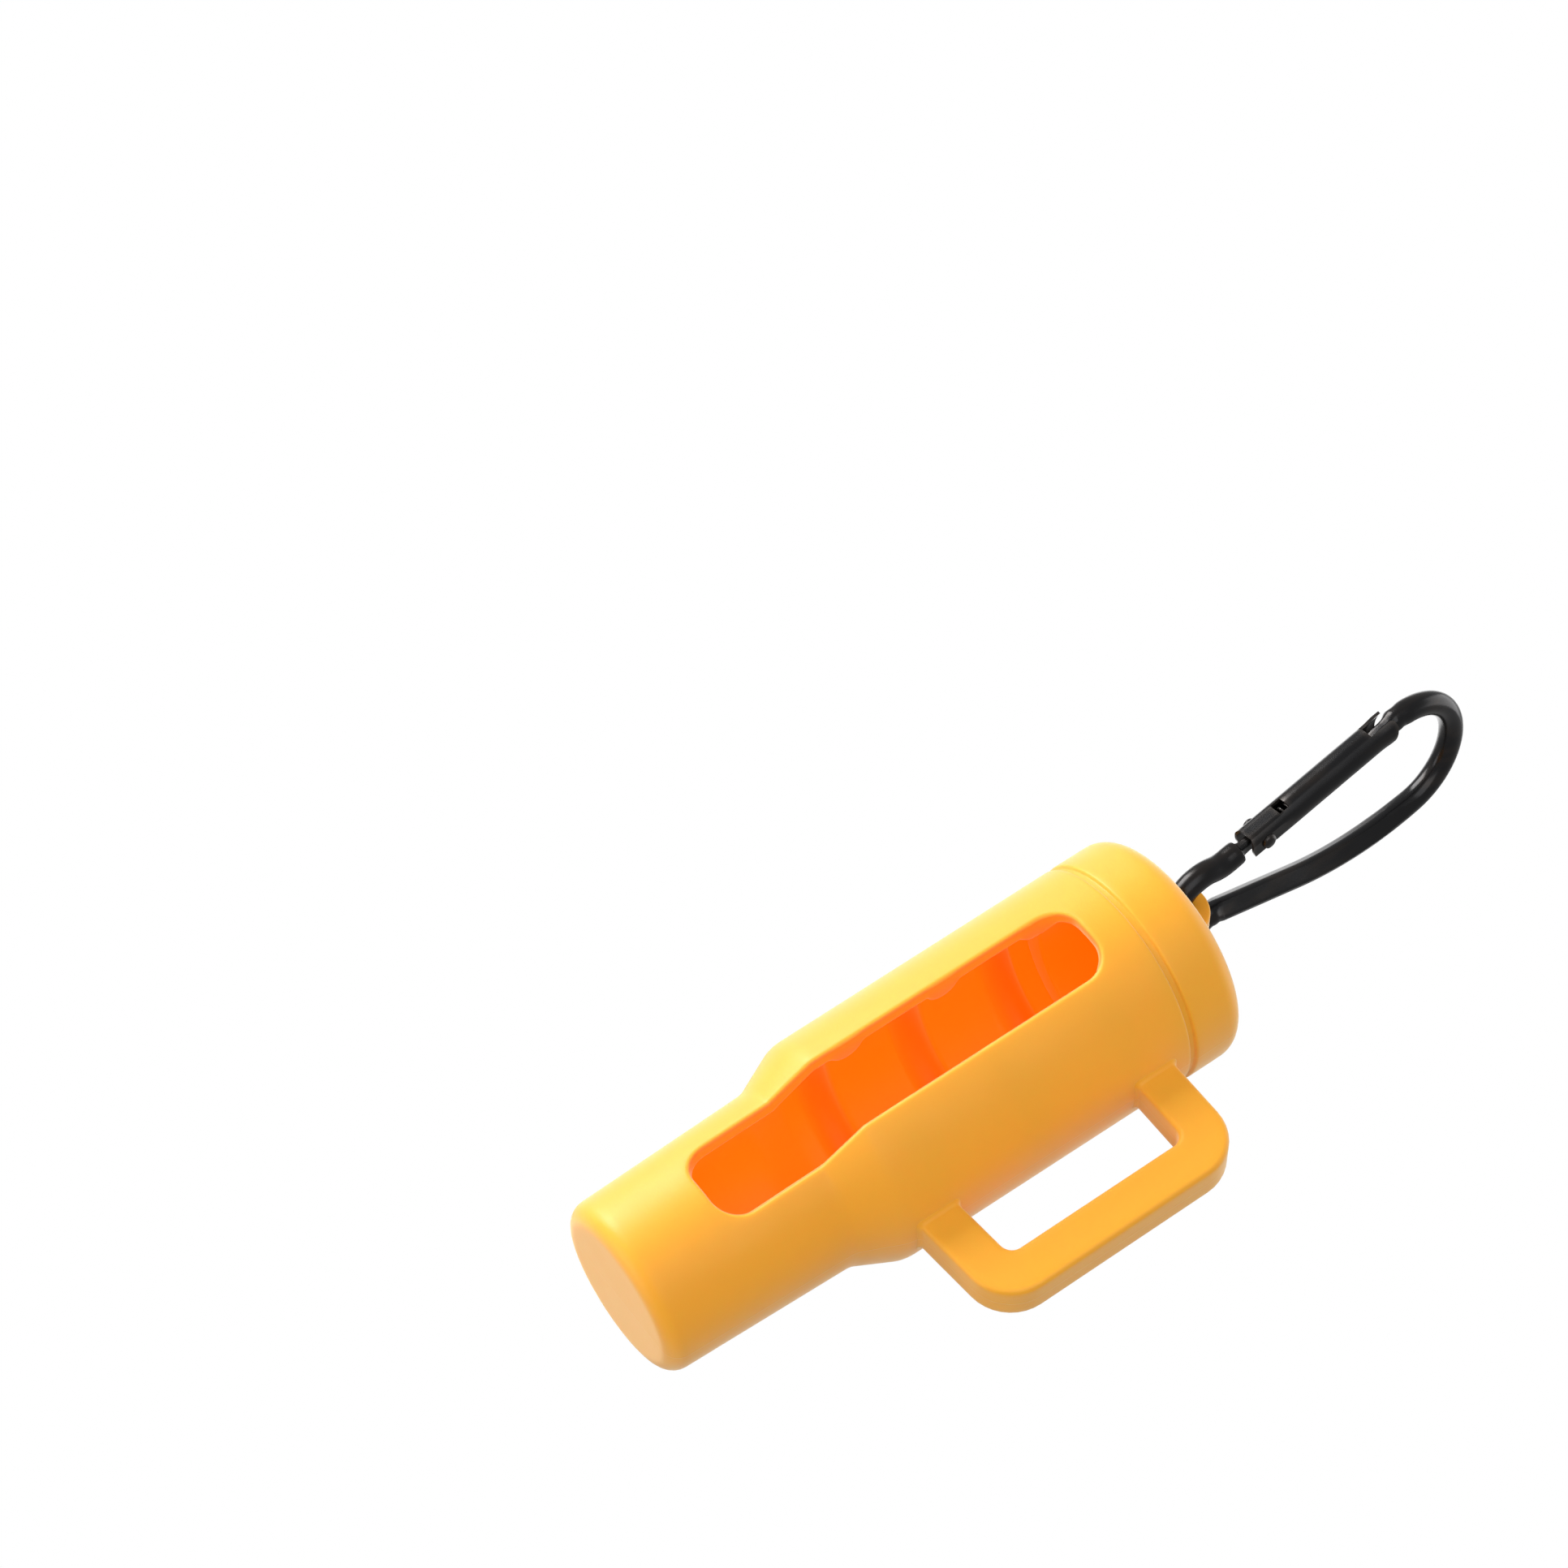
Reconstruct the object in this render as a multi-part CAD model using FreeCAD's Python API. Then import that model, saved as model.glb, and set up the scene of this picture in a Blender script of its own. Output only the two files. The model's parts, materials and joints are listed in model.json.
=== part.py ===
"""Tumbler-shaped silicone holder with a side window, a handle, a plug lid and a snap hook.

Frame: +Z up along the cup's axis, origin at the centre of the base, window towards -Y,
handle towards +X.  All lengths are millimetres.
"""
import FreeCAD
import Part
import math
import os

V = FreeCAD.Vector
X_AXIS, Y_AXIS, Z_AXIS = V(1, 0, 0), V(0, 1, 0), V(0, 0, 1)

# ---- cup -------------------------------------------------------------------------------
BASE_R = 14.9            # outer radius at the base
BASE_EDGE = 3.0          # rounding of the base edge
FOOT_TOP_R = 15.87       # outer radius where the slim foot ends
FOOT_TOP_Z = 33.9
BARREL_LOW_R = 19.66     # outer radius where the wide barrel begins
BARREL_LOW_Z = 41.97
BARREL_TOP_R = 19.94     # outer radius at the rim
RIM_Z = 97.0
WALL = 2.0
FLOOR = 2.4
RIM_EDGE = 0.5           # rounding of the rim's outer edge

# ---- window and ribs -------------------------------------------------------------------
WINDOW_W = 13.8
WINDOW_LOW_Z = 16.7
WINDOW_BELOW_RIM = 6.6   # from the rim down to the window's top
WINDOW_HIGH_Z = RIM_Z - WINDOW_BELOW_RIM
WINDOW_CORNER = 4.8
RIB_BELOW_RIM = 11.3     # from the rim down to the top rib
RIB_PITCH = 18.55        # ribs are spaced down from the top one
RIB_COUNT = 3
RIB_HALF_W = 2.6         # half the width of a rib at the wall
RIB_H = 2.0              # how far a rib stands in from the wall

# ---- handle ----------------------------------------------------------------------------
HANDLE_REACH = 18.76     # from the barrel to the outer face of the grip
HANDLE_BAR = 7.3         # width of the grip and the arms in the handle's plane
HANDLE_T = 7.0           # thickness across the plane
HANDLE_BELOW_RIM = 3.6   # from the rim down to the top of the upper arm
HANDLE_ABOVE_SHOULDER = 1.33   # from the shoulder up to the underside of the lower arm
HANDLE_LOW_RISE = 1.8    # the lower arm rises this much towards the grip
HANDLE_OUTER_CORNER = 8.0
HANDLE_INNER_CORNER = 2.2
HANDLE_EDGE = 0.8
HANDLE_OUT = BARREL_TOP_R + HANDLE_REACH
HANDLE_HIGH_Z = RIM_Z - HANDLE_BELOW_RIM
HANDLE_LOW_Z = BARREL_LOW_Z + HANDLE_ABOVE_SHOULDER

# ---- lid -------------------------------------------------------------------------------
LID_PROUD = 0.06         # the lid stands this much proud of the barrel
LID_H = 11.5             # from the rim to the lid's flat top
LID_R = BARREL_TOP_R + LID_PROUD
LID_TOP_Z = RIM_Z + LID_H
LID_TOP_EDGE = 3.7
GROOVE_W = 0.8           # height of the recessed line between rim and lid
GROOVE_DEPTH = 0.6
PLUG_LEN = 4.6           # how far the plug reaches below the rim
PLUG_GAP = 0.1           # radial clearance of the plug in the rim
SEAT_GAP = 0.05          # lid's seat above the rim
LID_RECESS_R = 13.5      # hollow in the underside of the plug
LID_ROOF = 4.0           # thickness of the lid over that hollow

# ---- hanging loop on the lid, leaning a little towards -X ---------------------------------
LOOP_X = -3.0
LOOP_CENTRE_H = 3.7      # hole centre above the lid's top
LOOP_R = 5.6
LOOP_WAIST = 5.15        # half the loop's width where its foot begins
LOOP_HOLE_R = 2.9
LOOP_T = 4.0
LOOP_FOOT_W = 12.0
LOOP_FOOT_X = -0.8
LOOP_EDGE = 1.2

# ---- snap hook -------------------------------------------------------------------------
WIRE_R = 2.1
EYE_IN_R = 3.05          # inner radius of the small end, which hangs in the loop
EYE_R = EYE_IN_R + WIRE_R      # and its centreline radius
GATE_X = 3.65            # gate axis from the small end's centre
BEND_R = 11.3            # centreline radius of the wide end
BEND_Z = 44.9            # centre of the wide end above the small end's centre
SPINE_R = 62.0           # long curve of the back
NECK_R = 7.0             # short reverse curve where the back meets the small end
KINK_R = 4.0             # bends of the short leg below the hinge
KINK_Z = 1.9             # where those bends begin
LEG_END_Z = 9.5          # end of the round wire below the hinge
NOSE_Z = 44.3            # end of the round wire above the gate

RIVET_Z = 14.3
RIVET_R = 0.65
RIVET_HEAD_R = 1.4
RIVET_HEAD_H = 0.7
RIVET_HEAD_EDGE = 0.49   # rounding of the rivet's heads
RIVET_FIT = 0.05
TONGUE_HALF_W = 1.25     # flattened end of the wire inside the hinge
TONGUE_HALF_T = 0.85
TONGUE_OVER = 1.7        # how far the tongue reaches past the rivet

GATE_R = 2.65
GATE_WALL = 0.5
GATE_TOP_Z = 43.7
CHEEK_IN = 1.3           # half the gap between the two hinge cheeks
CHEEK_OUT = 2.3
CHEEK_BELOW = 3.3        # how far the cheeks reach below the rivet
CHEEK_TOP = 1.9          # how far they reach above it
NOTCH_Z = 18.3
NOTCH_H = 2.0
NOTCH_HALF_W = 1.2
SLOT_HALF_W = 1.2        # slot for the nose, open at the gate's end
SLOT_LEN = 3.2
CATCH_HALF_W = 1.5       # arms of the nose's T
CATCH_HALF_D = 0.8
CATCH_H = 1.4
CATCH_PLAY = 0.3
CATCH_ROOM = 0.8

PLUNGER_GAP = 0.3        # between tongue and plunger, and round the plunger
PLUNGER_H = 1.6
SPRING_LEN = 9.0
SPRING_OUT_R = 1.6
SPRING_IN_R = 1.1
COLLAR_H = 0.8           # crimped collar that the spring bears on
COLLAR_IN_R = 0.9

HOOK_YAW = 10.0          # turn of the hook's plane about the vertical
HOOK_TILT = 3.0          # lean of that plane towards -X
HOOK_ROCK = 8.3          # rocking of the hook within its plane
HOOK_SIDE_PLAY = 0.1     # the small end's centre lies this far to the gate's side


def revolve(points):
    """Solid of revolution about Z from (radius, height) points."""
    outline = Part.makePolygon([V(r, 0, z) for r, z in points + points[:1]])
    return Part.Face(outline).revolve(V(), Z_AXIS, 360)


def round_edges_at(solid, radius, height, size):
    """Rounds the circular edge of the given radius and height."""
    def matches(edge):
        box = edge.BoundBox
        flat = box.ZLength < 0.01 and abs(box.ZMin - height) < 0.01
        return flat and abs(box.XLength / 2 - radius) < 0.05
    edges = [edge for edge in solid.Edges if matches(edge)]
    return solid.makeFillet(size, edges)


def block(x, y, z):
    """Box from three (low, high) pairs."""
    return Part.makeBox(x[1] - x[0], y[1] - y[0], z[1] - z[0], V(x[0], y[0], z[0]))


def rod(radius, height, base, axis=Z_AXIS):
    return Part.makeCylinder(radius, height, base, axis)


def cup_outside():
    outer = revolve([(0, 0), (BASE_R, 0), (FOOT_TOP_R, FOOT_TOP_Z),
                     (BARREL_LOW_R, BARREL_LOW_Z), (BARREL_TOP_R, RIM_Z), (0, RIM_Z)])
    outer = round_edges_at(outer, BASE_R, 0, BASE_EDGE)
    return round_edges_at(outer, BARREL_TOP_R, RIM_Z, RIM_EDGE)


def shoulder_shift():
    """Height by which the inner shoulder sits above the outer one, for an even wall."""
    lean = math.atan2(BARREL_LOW_R - FOOT_TOP_R, BARREL_LOW_Z - FOOT_TOP_Z)
    return WALL * math.tan(lean / 2)


def inner_profile():
    """Radius and height of the cavity's corners, from the floor to the rim."""
    lift = shoulder_shift()
    return [(BASE_R - WALL, FLOOR), (FOOT_TOP_R - WALL, FOOT_TOP_Z + lift),
            (BARREL_LOW_R - WALL, BARREL_LOW_Z + lift), (BARREL_TOP_R - WALL, RIM_Z)]


def inner_radius(height):
    corners = inner_profile()
    for (r0, z0), (r1, z1) in zip(corners, corners[1:]):
        if height <= z1:
            return r0 + (r1 - r0) * (height - z0) / (z1 - z0)
    return corners[-1][0]


def rib(height):
    """Half-round ring on the inside of the wall."""
    wall_r = inner_radius(height) + WALL / 2
    inner_r = inner_radius(height) - RIB_H
    low = V(wall_r, 0, height - RIB_HALF_W)
    high = V(wall_r, 0, height + RIB_HALF_W)
    foot_r = inner_radius(height)
    crown = Part.Arc(V(foot_r, 0, high.z), V(inner_r, 0, height), V(foot_r, 0, low.z))
    outline = Part.Wire([Part.LineSegment(V(foot_r, 0, low.z), low).toShape(),
                         Part.LineSegment(low, high).toShape(),
                         Part.LineSegment(high, V(foot_r, 0, high.z)).toShape(),
                         crown.toShape()])
    return Part.Face(outline).revolve(V(), Z_AXIS, 360)


def window_cutter():
    """Round-cornered prism through the front wall only."""
    prism = block((-WINDOW_W / 2, WINDOW_W / 2), (-BARREL_TOP_R - WALL, -WINDOW_W / 2),
                  (WINDOW_LOW_Z, WINDOW_HIGH_Z))
    along_y = [e for e in prism.Edges if e.BoundBox.XLength < 0.01 and e.BoundBox.ZLength < 0.01]
    return prism.makeFillet(WINDOW_CORNER, along_y)


def make_cup():
    cavity = revolve([(0, FLOOR)] + inner_profile()
                     + [(BARREL_TOP_R - WALL, RIM_Z + WALL), (0, RIM_Z + WALL)])
    shell = cup_outside().cut(cavity)
    heights = [RIM_Z - RIB_BELOW_RIM - i * RIB_PITCH for i in range(RIB_COUNT)]
    return shell.fuse([rib(z) for z in heights]).cut(window_cutter()).removeSplitter()


def make_handle():
    """Flat bar bent into a C, ending on the cup's outer face."""
    grip_in = HANDLE_OUT - HANDLE_BAR
    root = BARREL_LOW_R - WALL
    low_end = HANDLE_LOW_Z + HANDLE_LOW_RISE
    half = HANDLE_T / 2
    outer = Part.makePolygon([V(root, -half, HANDLE_HIGH_Z), V(HANDLE_OUT, -half, HANDLE_HIGH_Z),
                              V(HANDLE_OUT, -half, low_end), V(root, -half, HANDLE_LOW_Z),
                              V(root, -half, HANDLE_HIGH_Z)])
    bar = Part.Face(outer).extrude(V(0, HANDLE_T, 0))
    high_in = HANDLE_HIGH_Z - HANDLE_BAR
    gap = Part.makePolygon([V(0, -half, high_in), V(grip_in, -half, high_in),
                            V(grip_in, -half, low_end + HANDLE_BAR),
                            V(0, -half, HANDLE_LOW_Z + HANDLE_BAR - HANDLE_LOW_RISE / 2),
                            V(0, -half, high_in)])
    finger_gap = Part.Face(gap).extrude(V(0, HANDLE_T, 0))

    def across(solid, x):
        return [e for e in solid.Edges
                if abs(e.BoundBox.XMin - x) < 0.01 and e.BoundBox.XLength < 0.01
                and e.BoundBox.ZLength < 0.01]
    bar = bar.makeFillet(HANDLE_OUTER_CORNER, across(bar, HANDLE_OUT))
    finger_gap = finger_gap.makeFillet(HANDLE_INNER_CORNER, across(finger_gap, grip_in))
    bar = bar.cut(finger_gap)
    rims = [e for e in bar.Edges
            if e.BoundBox.YLength < 0.01 and e.BoundBox.XMax > root + 0.1]
    bar = bar.makeFillet(HANDLE_EDGE, rims)
    return bar.cut(cup_outside())


def make_lid():
    """Plug lid: a disc with a rounded top, a recessed line under it and a hollow plug."""
    neck_r = BARREL_TOP_R - GROOVE_DEPTH
    plug_r = BARREL_TOP_R - WALL - PLUG_GAP
    plug_low_r = inner_radius(RIM_Z - PLUG_LEN) - PLUG_GAP
    seat_z = RIM_Z + SEAT_GAP
    disc_z = RIM_Z + GROOVE_W
    lid = revolve([(0, RIM_Z - PLUG_LEN), (plug_low_r, RIM_Z - PLUG_LEN), (plug_r, seat_z),
                   (neck_r, seat_z), (neck_r, disc_z), (LID_R, disc_z),
                   (LID_R, LID_TOP_Z), (0, LID_TOP_Z)])
    lid = round_edges_at(lid, LID_R, LID_TOP_Z, LID_TOP_EDGE)
    lid = round_edges_at(lid, LID_R, disc_z, RIM_EDGE)
    lid = round_edges_at(lid, plug_low_r, RIM_Z - PLUG_LEN, RIM_EDGE)
    depth = LID_TOP_Z - LID_ROOF - (RIM_Z - PLUG_LEN)
    return lid.cut(rod(LID_RECESS_R, depth, V(0, 0, RIM_Z - PLUG_LEN)))


def loop_centre():
    return V(LOOP_X, 0, LID_TOP_Z + LOOP_CENTRE_H)


def make_loop():
    """Upright ring on a wide foot, with its hole along Y."""
    centre = loop_centre()
    half = LOOP_T / 2
    ring = rod(LOOP_R, LOOP_T, centre - V(0, half, 0), Y_AXIS)
    foot = Part.makePolygon([V(LOOP_FOOT_X - LOOP_FOOT_W / 2, -half, LID_TOP_Z),
                             V(centre.x - LOOP_WAIST, -half, centre.z),
                             V(centre.x + LOOP_WAIST, -half, centre.z),
                             V(LOOP_FOOT_X + LOOP_FOOT_W / 2, -half, LID_TOP_Z),
                             V(LOOP_FOOT_X - LOOP_FOOT_W / 2, -half, LID_TOP_Z)])
    body = ring.fuse(Part.Face(foot).extrude(V(0, LOOP_T, 0))).removeSplitter()
    body = body.cut(rod(LOOP_HOLE_R, LOOP_T, centre - V(0, half, 0), Y_AXIS))
    above = block((-LID_R, LID_R), (-LID_R, LID_R), (LID_TOP_Z, centre.z + LOOP_R))
    body = body.common(above)
    rims = [e for e in body.Edges
            if e.BoundBox.YLength < 0.01 and e.BoundBox.ZMin > LID_TOP_Z - 0.01
            and e.BoundBox.ZLength > 0.01]
    return body.makeFillet(LOOP_EDGE, rims)


def hook_placement():
    """Carries the hook from its own frame (Z along the gate, X to the gate) into the loop."""
    turn = FreeCAD.Rotation(Z_AXIS, -90 - HOOK_YAW)
    tilt = turn.multiply(FreeCAD.Rotation(X_AXIS, HOOK_TILT))
    whole = tilt.multiply(FreeCAD.Rotation(Y_AXIS, HOOK_ROCK))
    centre = loop_centre() + tilt.multVec(V(HOOK_SIDE_PLAY, 0, EYE_R))
    return FreeCAD.Placement(centre, whole)


def arc(centre, radius, start, end):
    """Arc in the XZ plane between two angles in degrees, measured from +X towards +Z."""
    def at(degrees):
        a = math.radians(degrees)
        return V(centre[0] + radius * math.cos(a), 0, centre[1] + radius * math.sin(a))
    return Part.Arc(at(start), at((start + end) / 2), at(end)).toShape()


def line(start, end):
    return Part.LineSegment(V(start[0], 0, start[1]), V(end[0], 0, end[1])).toShape()


def hook_path():
    """Centreline of the bent wire, from the nose over the wide end and the eye to the hinge."""
    back_x = GATE_X - 2 * BEND_R + SPINE_R
    neck_x = -EYE_R - NECK_R
    reach = math.hypot(back_x - neck_x, BEND_Z)
    rise = math.degrees(math.atan2(BEND_Z, back_x - neck_x))
    lean = rise - math.degrees(math.acos((SPINE_R + NECK_R) / reach))
    sine, cosine = math.sin(math.radians(lean)), math.cos(math.radians(lean))
    kink = math.degrees(math.acos(1 - (EYE_R - GATE_X) / (2 * KINK_R)))
    kink_top = KINK_Z + 2 * KINK_R * math.sin(math.radians(kink))
    edges = [
        line((GATE_X, NOSE_Z), (GATE_X, BEND_Z)),
        arc((GATE_X - BEND_R, BEND_Z), BEND_R, 0, 180),
        arc((back_x, BEND_Z), SPINE_R, 180, 180 + lean),
        line((back_x - SPINE_R * cosine, BEND_Z - SPINE_R * sine),
             (neck_x + NECK_R * cosine, NECK_R * sine)),
        arc((neck_x, 0), NECK_R, lean, 0),
        arc((0, 0), EYE_R, 180, 360),
        line((EYE_R, 0), (EYE_R, KINK_Z)),
        arc((EYE_R - KINK_R, KINK_Z), KINK_R, 0, kink),
        arc((GATE_X + KINK_R, kink_top), KINK_R, 180 + kink, 180),
        line((GATE_X, kink_top), (GATE_X, LEG_END_Z))]
    return Part.Wire(edges)


def make_hook_frame():
    path = hook_path()
    section = Part.Wire(Part.makeCircle(WIRE_R, V(GATE_X, 0, NOSE_Z), Z_AXIS))
    wire = path.makePipeShell([section], True, False)
    span = (GATE_X - TONGUE_HALF_W, GATE_X + TONGUE_HALF_W)
    flat = (-TONGUE_HALF_T, TONGUE_HALF_T)
    tongue = block(span, flat, (LEG_END_Z - WIRE_R, RIVET_Z + TONGUE_OVER))
    catch_z = GATE_TOP_Z - SLOT_LEN - CATCH_PLAY - CATCH_H
    nose = block(span, flat, (catch_z, NOSE_Z + WIRE_R / 2))
    arms = block((GATE_X - CATCH_HALF_D, GATE_X + CATCH_HALF_D), (-CATCH_HALF_W, CATCH_HALF_W),
                 (catch_z, catch_z + CATCH_H))
    hole = rod(RIVET_R + RIVET_FIT, 2 * WIRE_R, V(GATE_X, -WIRE_R, RIVET_Z), Y_AXIS)
    return wire.fuse([tongue, nose, arms]).cut(hole).removeSplitter()


def spring_low():
    """Where the spring starts, on top of the plunger."""
    return RIVET_Z + TONGUE_OVER + PLUNGER_GAP + PLUNGER_H


def make_gate():
    """Rolled sheet tube with a notch, a slotted end, a spring collar and a hinge of two cheeks
    joined in front."""
    base = V(GATE_X, 0, RIVET_Z + CHEEK_TOP - GATE_WALL)
    length = GATE_TOP_Z - base.z
    tube = rod(GATE_R, length, base)
    low = RIVET_Z - CHEEK_BELOW
    high = RIVET_Z + CHEEK_TOP
    cheeks = rod(GATE_R, high - low, V(GATE_X, 0, low))
    slab = block((GATE_X - GATE_R, GATE_X + GATE_R), (-CHEEK_OUT, CHEEK_OUT), (low, high))
    gate = tube.fuse(cheeks.common(slab))
    gate = gate.cut(rod(GATE_R - GATE_WALL, length, base))
    gate = gate.cut(block((GATE_X - GATE_R, GATE_X + GATE_R - GATE_WALL), (-CHEEK_IN, CHEEK_IN),
                          (low, base.z)))
    collar_z = spring_low() + SPRING_LEN
    collar = rod(GATE_R - GATE_WALL / 2, COLLAR_H, V(GATE_X, 0, collar_z))
    gate = gate.fuse(collar.cut(rod(COLLAR_IN_R, COLLAR_H, V(GATE_X, 0, collar_z))))
    outwards = (GATE_X, GATE_X + 2 * GATE_R)
    catch_z = GATE_TOP_Z - SLOT_LEN - CATCH_PLAY - CATCH_H - CATCH_ROOM
    wide = CATCH_HALF_W + CATCH_PLAY
    gate = gate.cut(block(outwards, (-NOTCH_HALF_W, NOTCH_HALF_W), (NOTCH_Z, NOTCH_Z + NOTCH_H)))
    gate = gate.cut(block(outwards, (-SLOT_HALF_W, SLOT_HALF_W), (catch_z, GATE_TOP_Z + WIRE_R)))
    gate = gate.cut(block(outwards, (-wide, wide), (catch_z, GATE_TOP_Z - SLOT_LEN)))
    hole = rod(RIVET_R + RIVET_FIT, 4 * GATE_R, V(GATE_X, -2 * GATE_R, RIVET_Z), Y_AXIS)
    return gate.cut(hole).removeSplitter()


def make_rivet():
    """Pin through both cheeks with a low domed head on each side."""
    head_y = CHEEK_OUT + RIVET_FIT
    pin = rod(RIVET_R, 2 * head_y, V(GATE_X, -head_y, RIVET_Z), Y_AXIS)
    heads = []
    for side in (-1, 1):
        head = rod(RIVET_HEAD_R, RIVET_HEAD_H, V(GATE_X, side * head_y, RIVET_Z), Y_AXIS * side)
        rim = [e for e in head.Edges if abs(e.BoundBox.YMin - side * (head_y + RIVET_HEAD_H)) < 0.01
               and e.BoundBox.YLength < 0.01]
        heads.append(head.makeFillet(RIVET_HEAD_EDGE, rim))
    return pin.fuse(heads).removeSplitter()


def make_plunger():
    low = RIVET_Z + TONGUE_OVER + PLUNGER_GAP
    return rod(GATE_R - GATE_WALL - PLUNGER_GAP, PLUNGER_H, V(GATE_X, 0, low))


def make_spring():
    """Outer shape of the coil spring's turns."""
    base = V(GATE_X, 0, spring_low())
    sleeve = rod(SPRING_OUT_R, SPRING_LEN, base)
    return sleeve.cut(rod(SPRING_IN_R, SPRING_LEN, base))


def hung(shape):
    """A hook piece moved from the hook's frame to where it hangs."""
    moved = shape.copy()
    moved.Placement = hook_placement().multiply(moved.Placement)
    return moved


def main():
    nodes = {
        "cup": make_cup(),
        "handle": make_handle(),
        "lid": make_lid(),
        "hanging_loop": make_loop(),
        "hook_frame": hung(make_hook_frame()),
        "hook_gate": hung(make_gate()),
        "gate_rivet": hung(make_rivet()),
        "gate_plunger": hung(make_plunger()),
        "gate_spring": hung(make_spring()),
    }
    os.makedirs("parts", exist_ok=True)
    for name, shape in nodes.items():
        solid = shape.Solids[0] if len(shape.Solids) == 1 else shape
        solid.exportStep("parts/" + name + ".step")
        box = solid.BoundBox
        print("%-14s solids %d valid %s volume %.1f  z %.2f to %.2f" % (
            name, len(shape.Solids), shape.isValid(), shape.Volume, box.ZMin, box.ZMax))
    place = hook_placement()
    rivet = place.multVec(V(GATE_X, 0, RIVET_Z))
    print("swing centre", tuple(loop_centre()))
    print("rivet centre", tuple(rivet), "axis", tuple(place.Rotation.multVec(Y_AXIS)))
    print("gate axis", tuple(place.Rotation.multVec(Z_AXIS)))


main()
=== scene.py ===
# %% [markdown]
# # A pocket holder shaped like a travel tumbler
# The real thing is moulded from amber silicone: a cup with a slim foot, a wide barrel, a long
# window in front and a handle at the side. A plug lid carries a small loop, and a black snap
# hook hangs in that loop. This lesson builds every piece as a mesh on top of a finished CAD
# frame, so the sizes come from the frame and the softness, seams and finishes are added here.

# %% Load the frame
import bmesh
import bpy
import json
import math
from mathutils import Matrix, Vector


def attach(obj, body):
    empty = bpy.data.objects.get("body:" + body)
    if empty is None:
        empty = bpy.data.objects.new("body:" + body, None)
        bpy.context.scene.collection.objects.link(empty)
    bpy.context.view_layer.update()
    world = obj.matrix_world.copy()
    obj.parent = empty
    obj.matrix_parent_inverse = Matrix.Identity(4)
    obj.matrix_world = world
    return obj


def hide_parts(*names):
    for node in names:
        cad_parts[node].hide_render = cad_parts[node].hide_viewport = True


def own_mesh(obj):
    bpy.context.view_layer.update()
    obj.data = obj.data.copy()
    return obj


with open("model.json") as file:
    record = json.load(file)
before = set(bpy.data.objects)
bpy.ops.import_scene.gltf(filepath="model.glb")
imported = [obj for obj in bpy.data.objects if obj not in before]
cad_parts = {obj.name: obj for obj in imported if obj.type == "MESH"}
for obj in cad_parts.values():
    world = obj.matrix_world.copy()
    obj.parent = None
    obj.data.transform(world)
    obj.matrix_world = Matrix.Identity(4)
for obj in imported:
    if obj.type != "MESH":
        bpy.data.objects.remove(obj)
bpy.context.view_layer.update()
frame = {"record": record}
joints = {joint["name"]: joint for joint in frame["record"]["behaviour"]["joints"]}

# %% [markdown]
# ## Camera
# The holder lies across the picture with its base towards the lower left, and it is seen from a
# little below the horizon of its own upright frame. So the camera looks up at the object and is
# rolled, which is plain arithmetic: start from azimuth and elevation, then turn about the line
# of sight.

# %% Camera from azimuth, elevation and roll
MM = 0.001
VIEW_AZIMUTH, VIEW_ELEVATION, VIEW_ROLL = 30.0, -18.66, 58.94
VIEW_DISTANCE = 648.7                       # mm from the lens to the middle of the barrel
SCREEN_RIGHT, SCREEN_UP = 18.21, -52.09     # where that middle lies on the screen, mm
LENS, SENSOR = 94.33, 36.0


def screen_axes(azimuth, elevation, roll):
    """Right, up and backward directions of a rolled camera."""
    a, e, r = (math.radians(angle) for angle in (azimuth, elevation, roll))
    back = Vector((math.sin(a) * math.cos(e), -math.cos(a) * math.cos(e), math.sin(e)))
    right = Vector((math.cos(a), math.sin(a), 0))
    up = back.cross(right)
    return (right * math.cos(r) + up * math.sin(r), up * math.cos(r) - right * math.sin(r), back)


right, up, back = screen_axes(VIEW_AZIMUTH, VIEW_ELEVATION, VIEW_ROLL)
eye = Vector((0, 0, 54)) + back * VIEW_DISTANCE - right * SCREEN_RIGHT - up * SCREEN_UP
camera = bpy.data.objects.new("camera", bpy.data.cameras.new("camera"))
bpy.context.collection.objects.link(camera)
camera.matrix_world = Matrix.Translation(eye * MM) @ Matrix((right, up, back)).transposed().to_4x4()
camera.data.lens, camera.data.sensor_width = LENS, SENSOR
camera.data.clip_start = 0.01
bpy.context.scene.camera = camera
print("camera at", [round(c, 3) for c in camera.matrix_world.translation])

# %% [markdown]
# ## Helpers for node trees
# The world, the floor and every finish are small node trees. These helpers add a node, set its
# inputs or link them, and start a material from its Principled node.

# %% Node helpers
def feed(tree, node, values):
    """Sets or links inputs, given by name or number, and returns the node."""
    for key, value in values.items():
        if isinstance(value, bpy.types.NodeSocket):
            tree.links.new(value, node.inputs[key])
        else:
            node.inputs[key].default_value = value
    return node


def add_node(tree, kind, values={}, **settings):
    """A new shader node with its settings made and its inputs fed."""
    node = tree.nodes.new("ShaderNode" + kind)
    for name, value in settings.items():
        setattr(node, name, value)
    return feed(tree, node, values)


def ramp(tree, value, low, high, top=1.0, kind="SMOOTHSTEP"):
    """A value brought from the range low to high into the range 0 to top."""
    return add_node(tree, "MapRange", {"Value": value, "From Min": low, "From Max": high,
                                       "To Max": top}, interpolation_type=kind).outputs[0]


def new_material(name, values):
    """A material, its tree and its Principled node, which gets the given values."""
    material = bpy.data.materials.new(name)
    material.use_nodes = True
    tree = material.node_tree
    return material, tree, feed(tree, tree.nodes["Principled BSDF"], values)


print("node helpers ready")

# %% [markdown]
# ## Soft studio light
# Silicone and black metal both look right under large, soft lamps. A strong one grazes the
# window's side, weaker ones fill the front and light the base, and two more stand above and
# behind for the other views. The world sheds an even light and shows as white.

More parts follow.
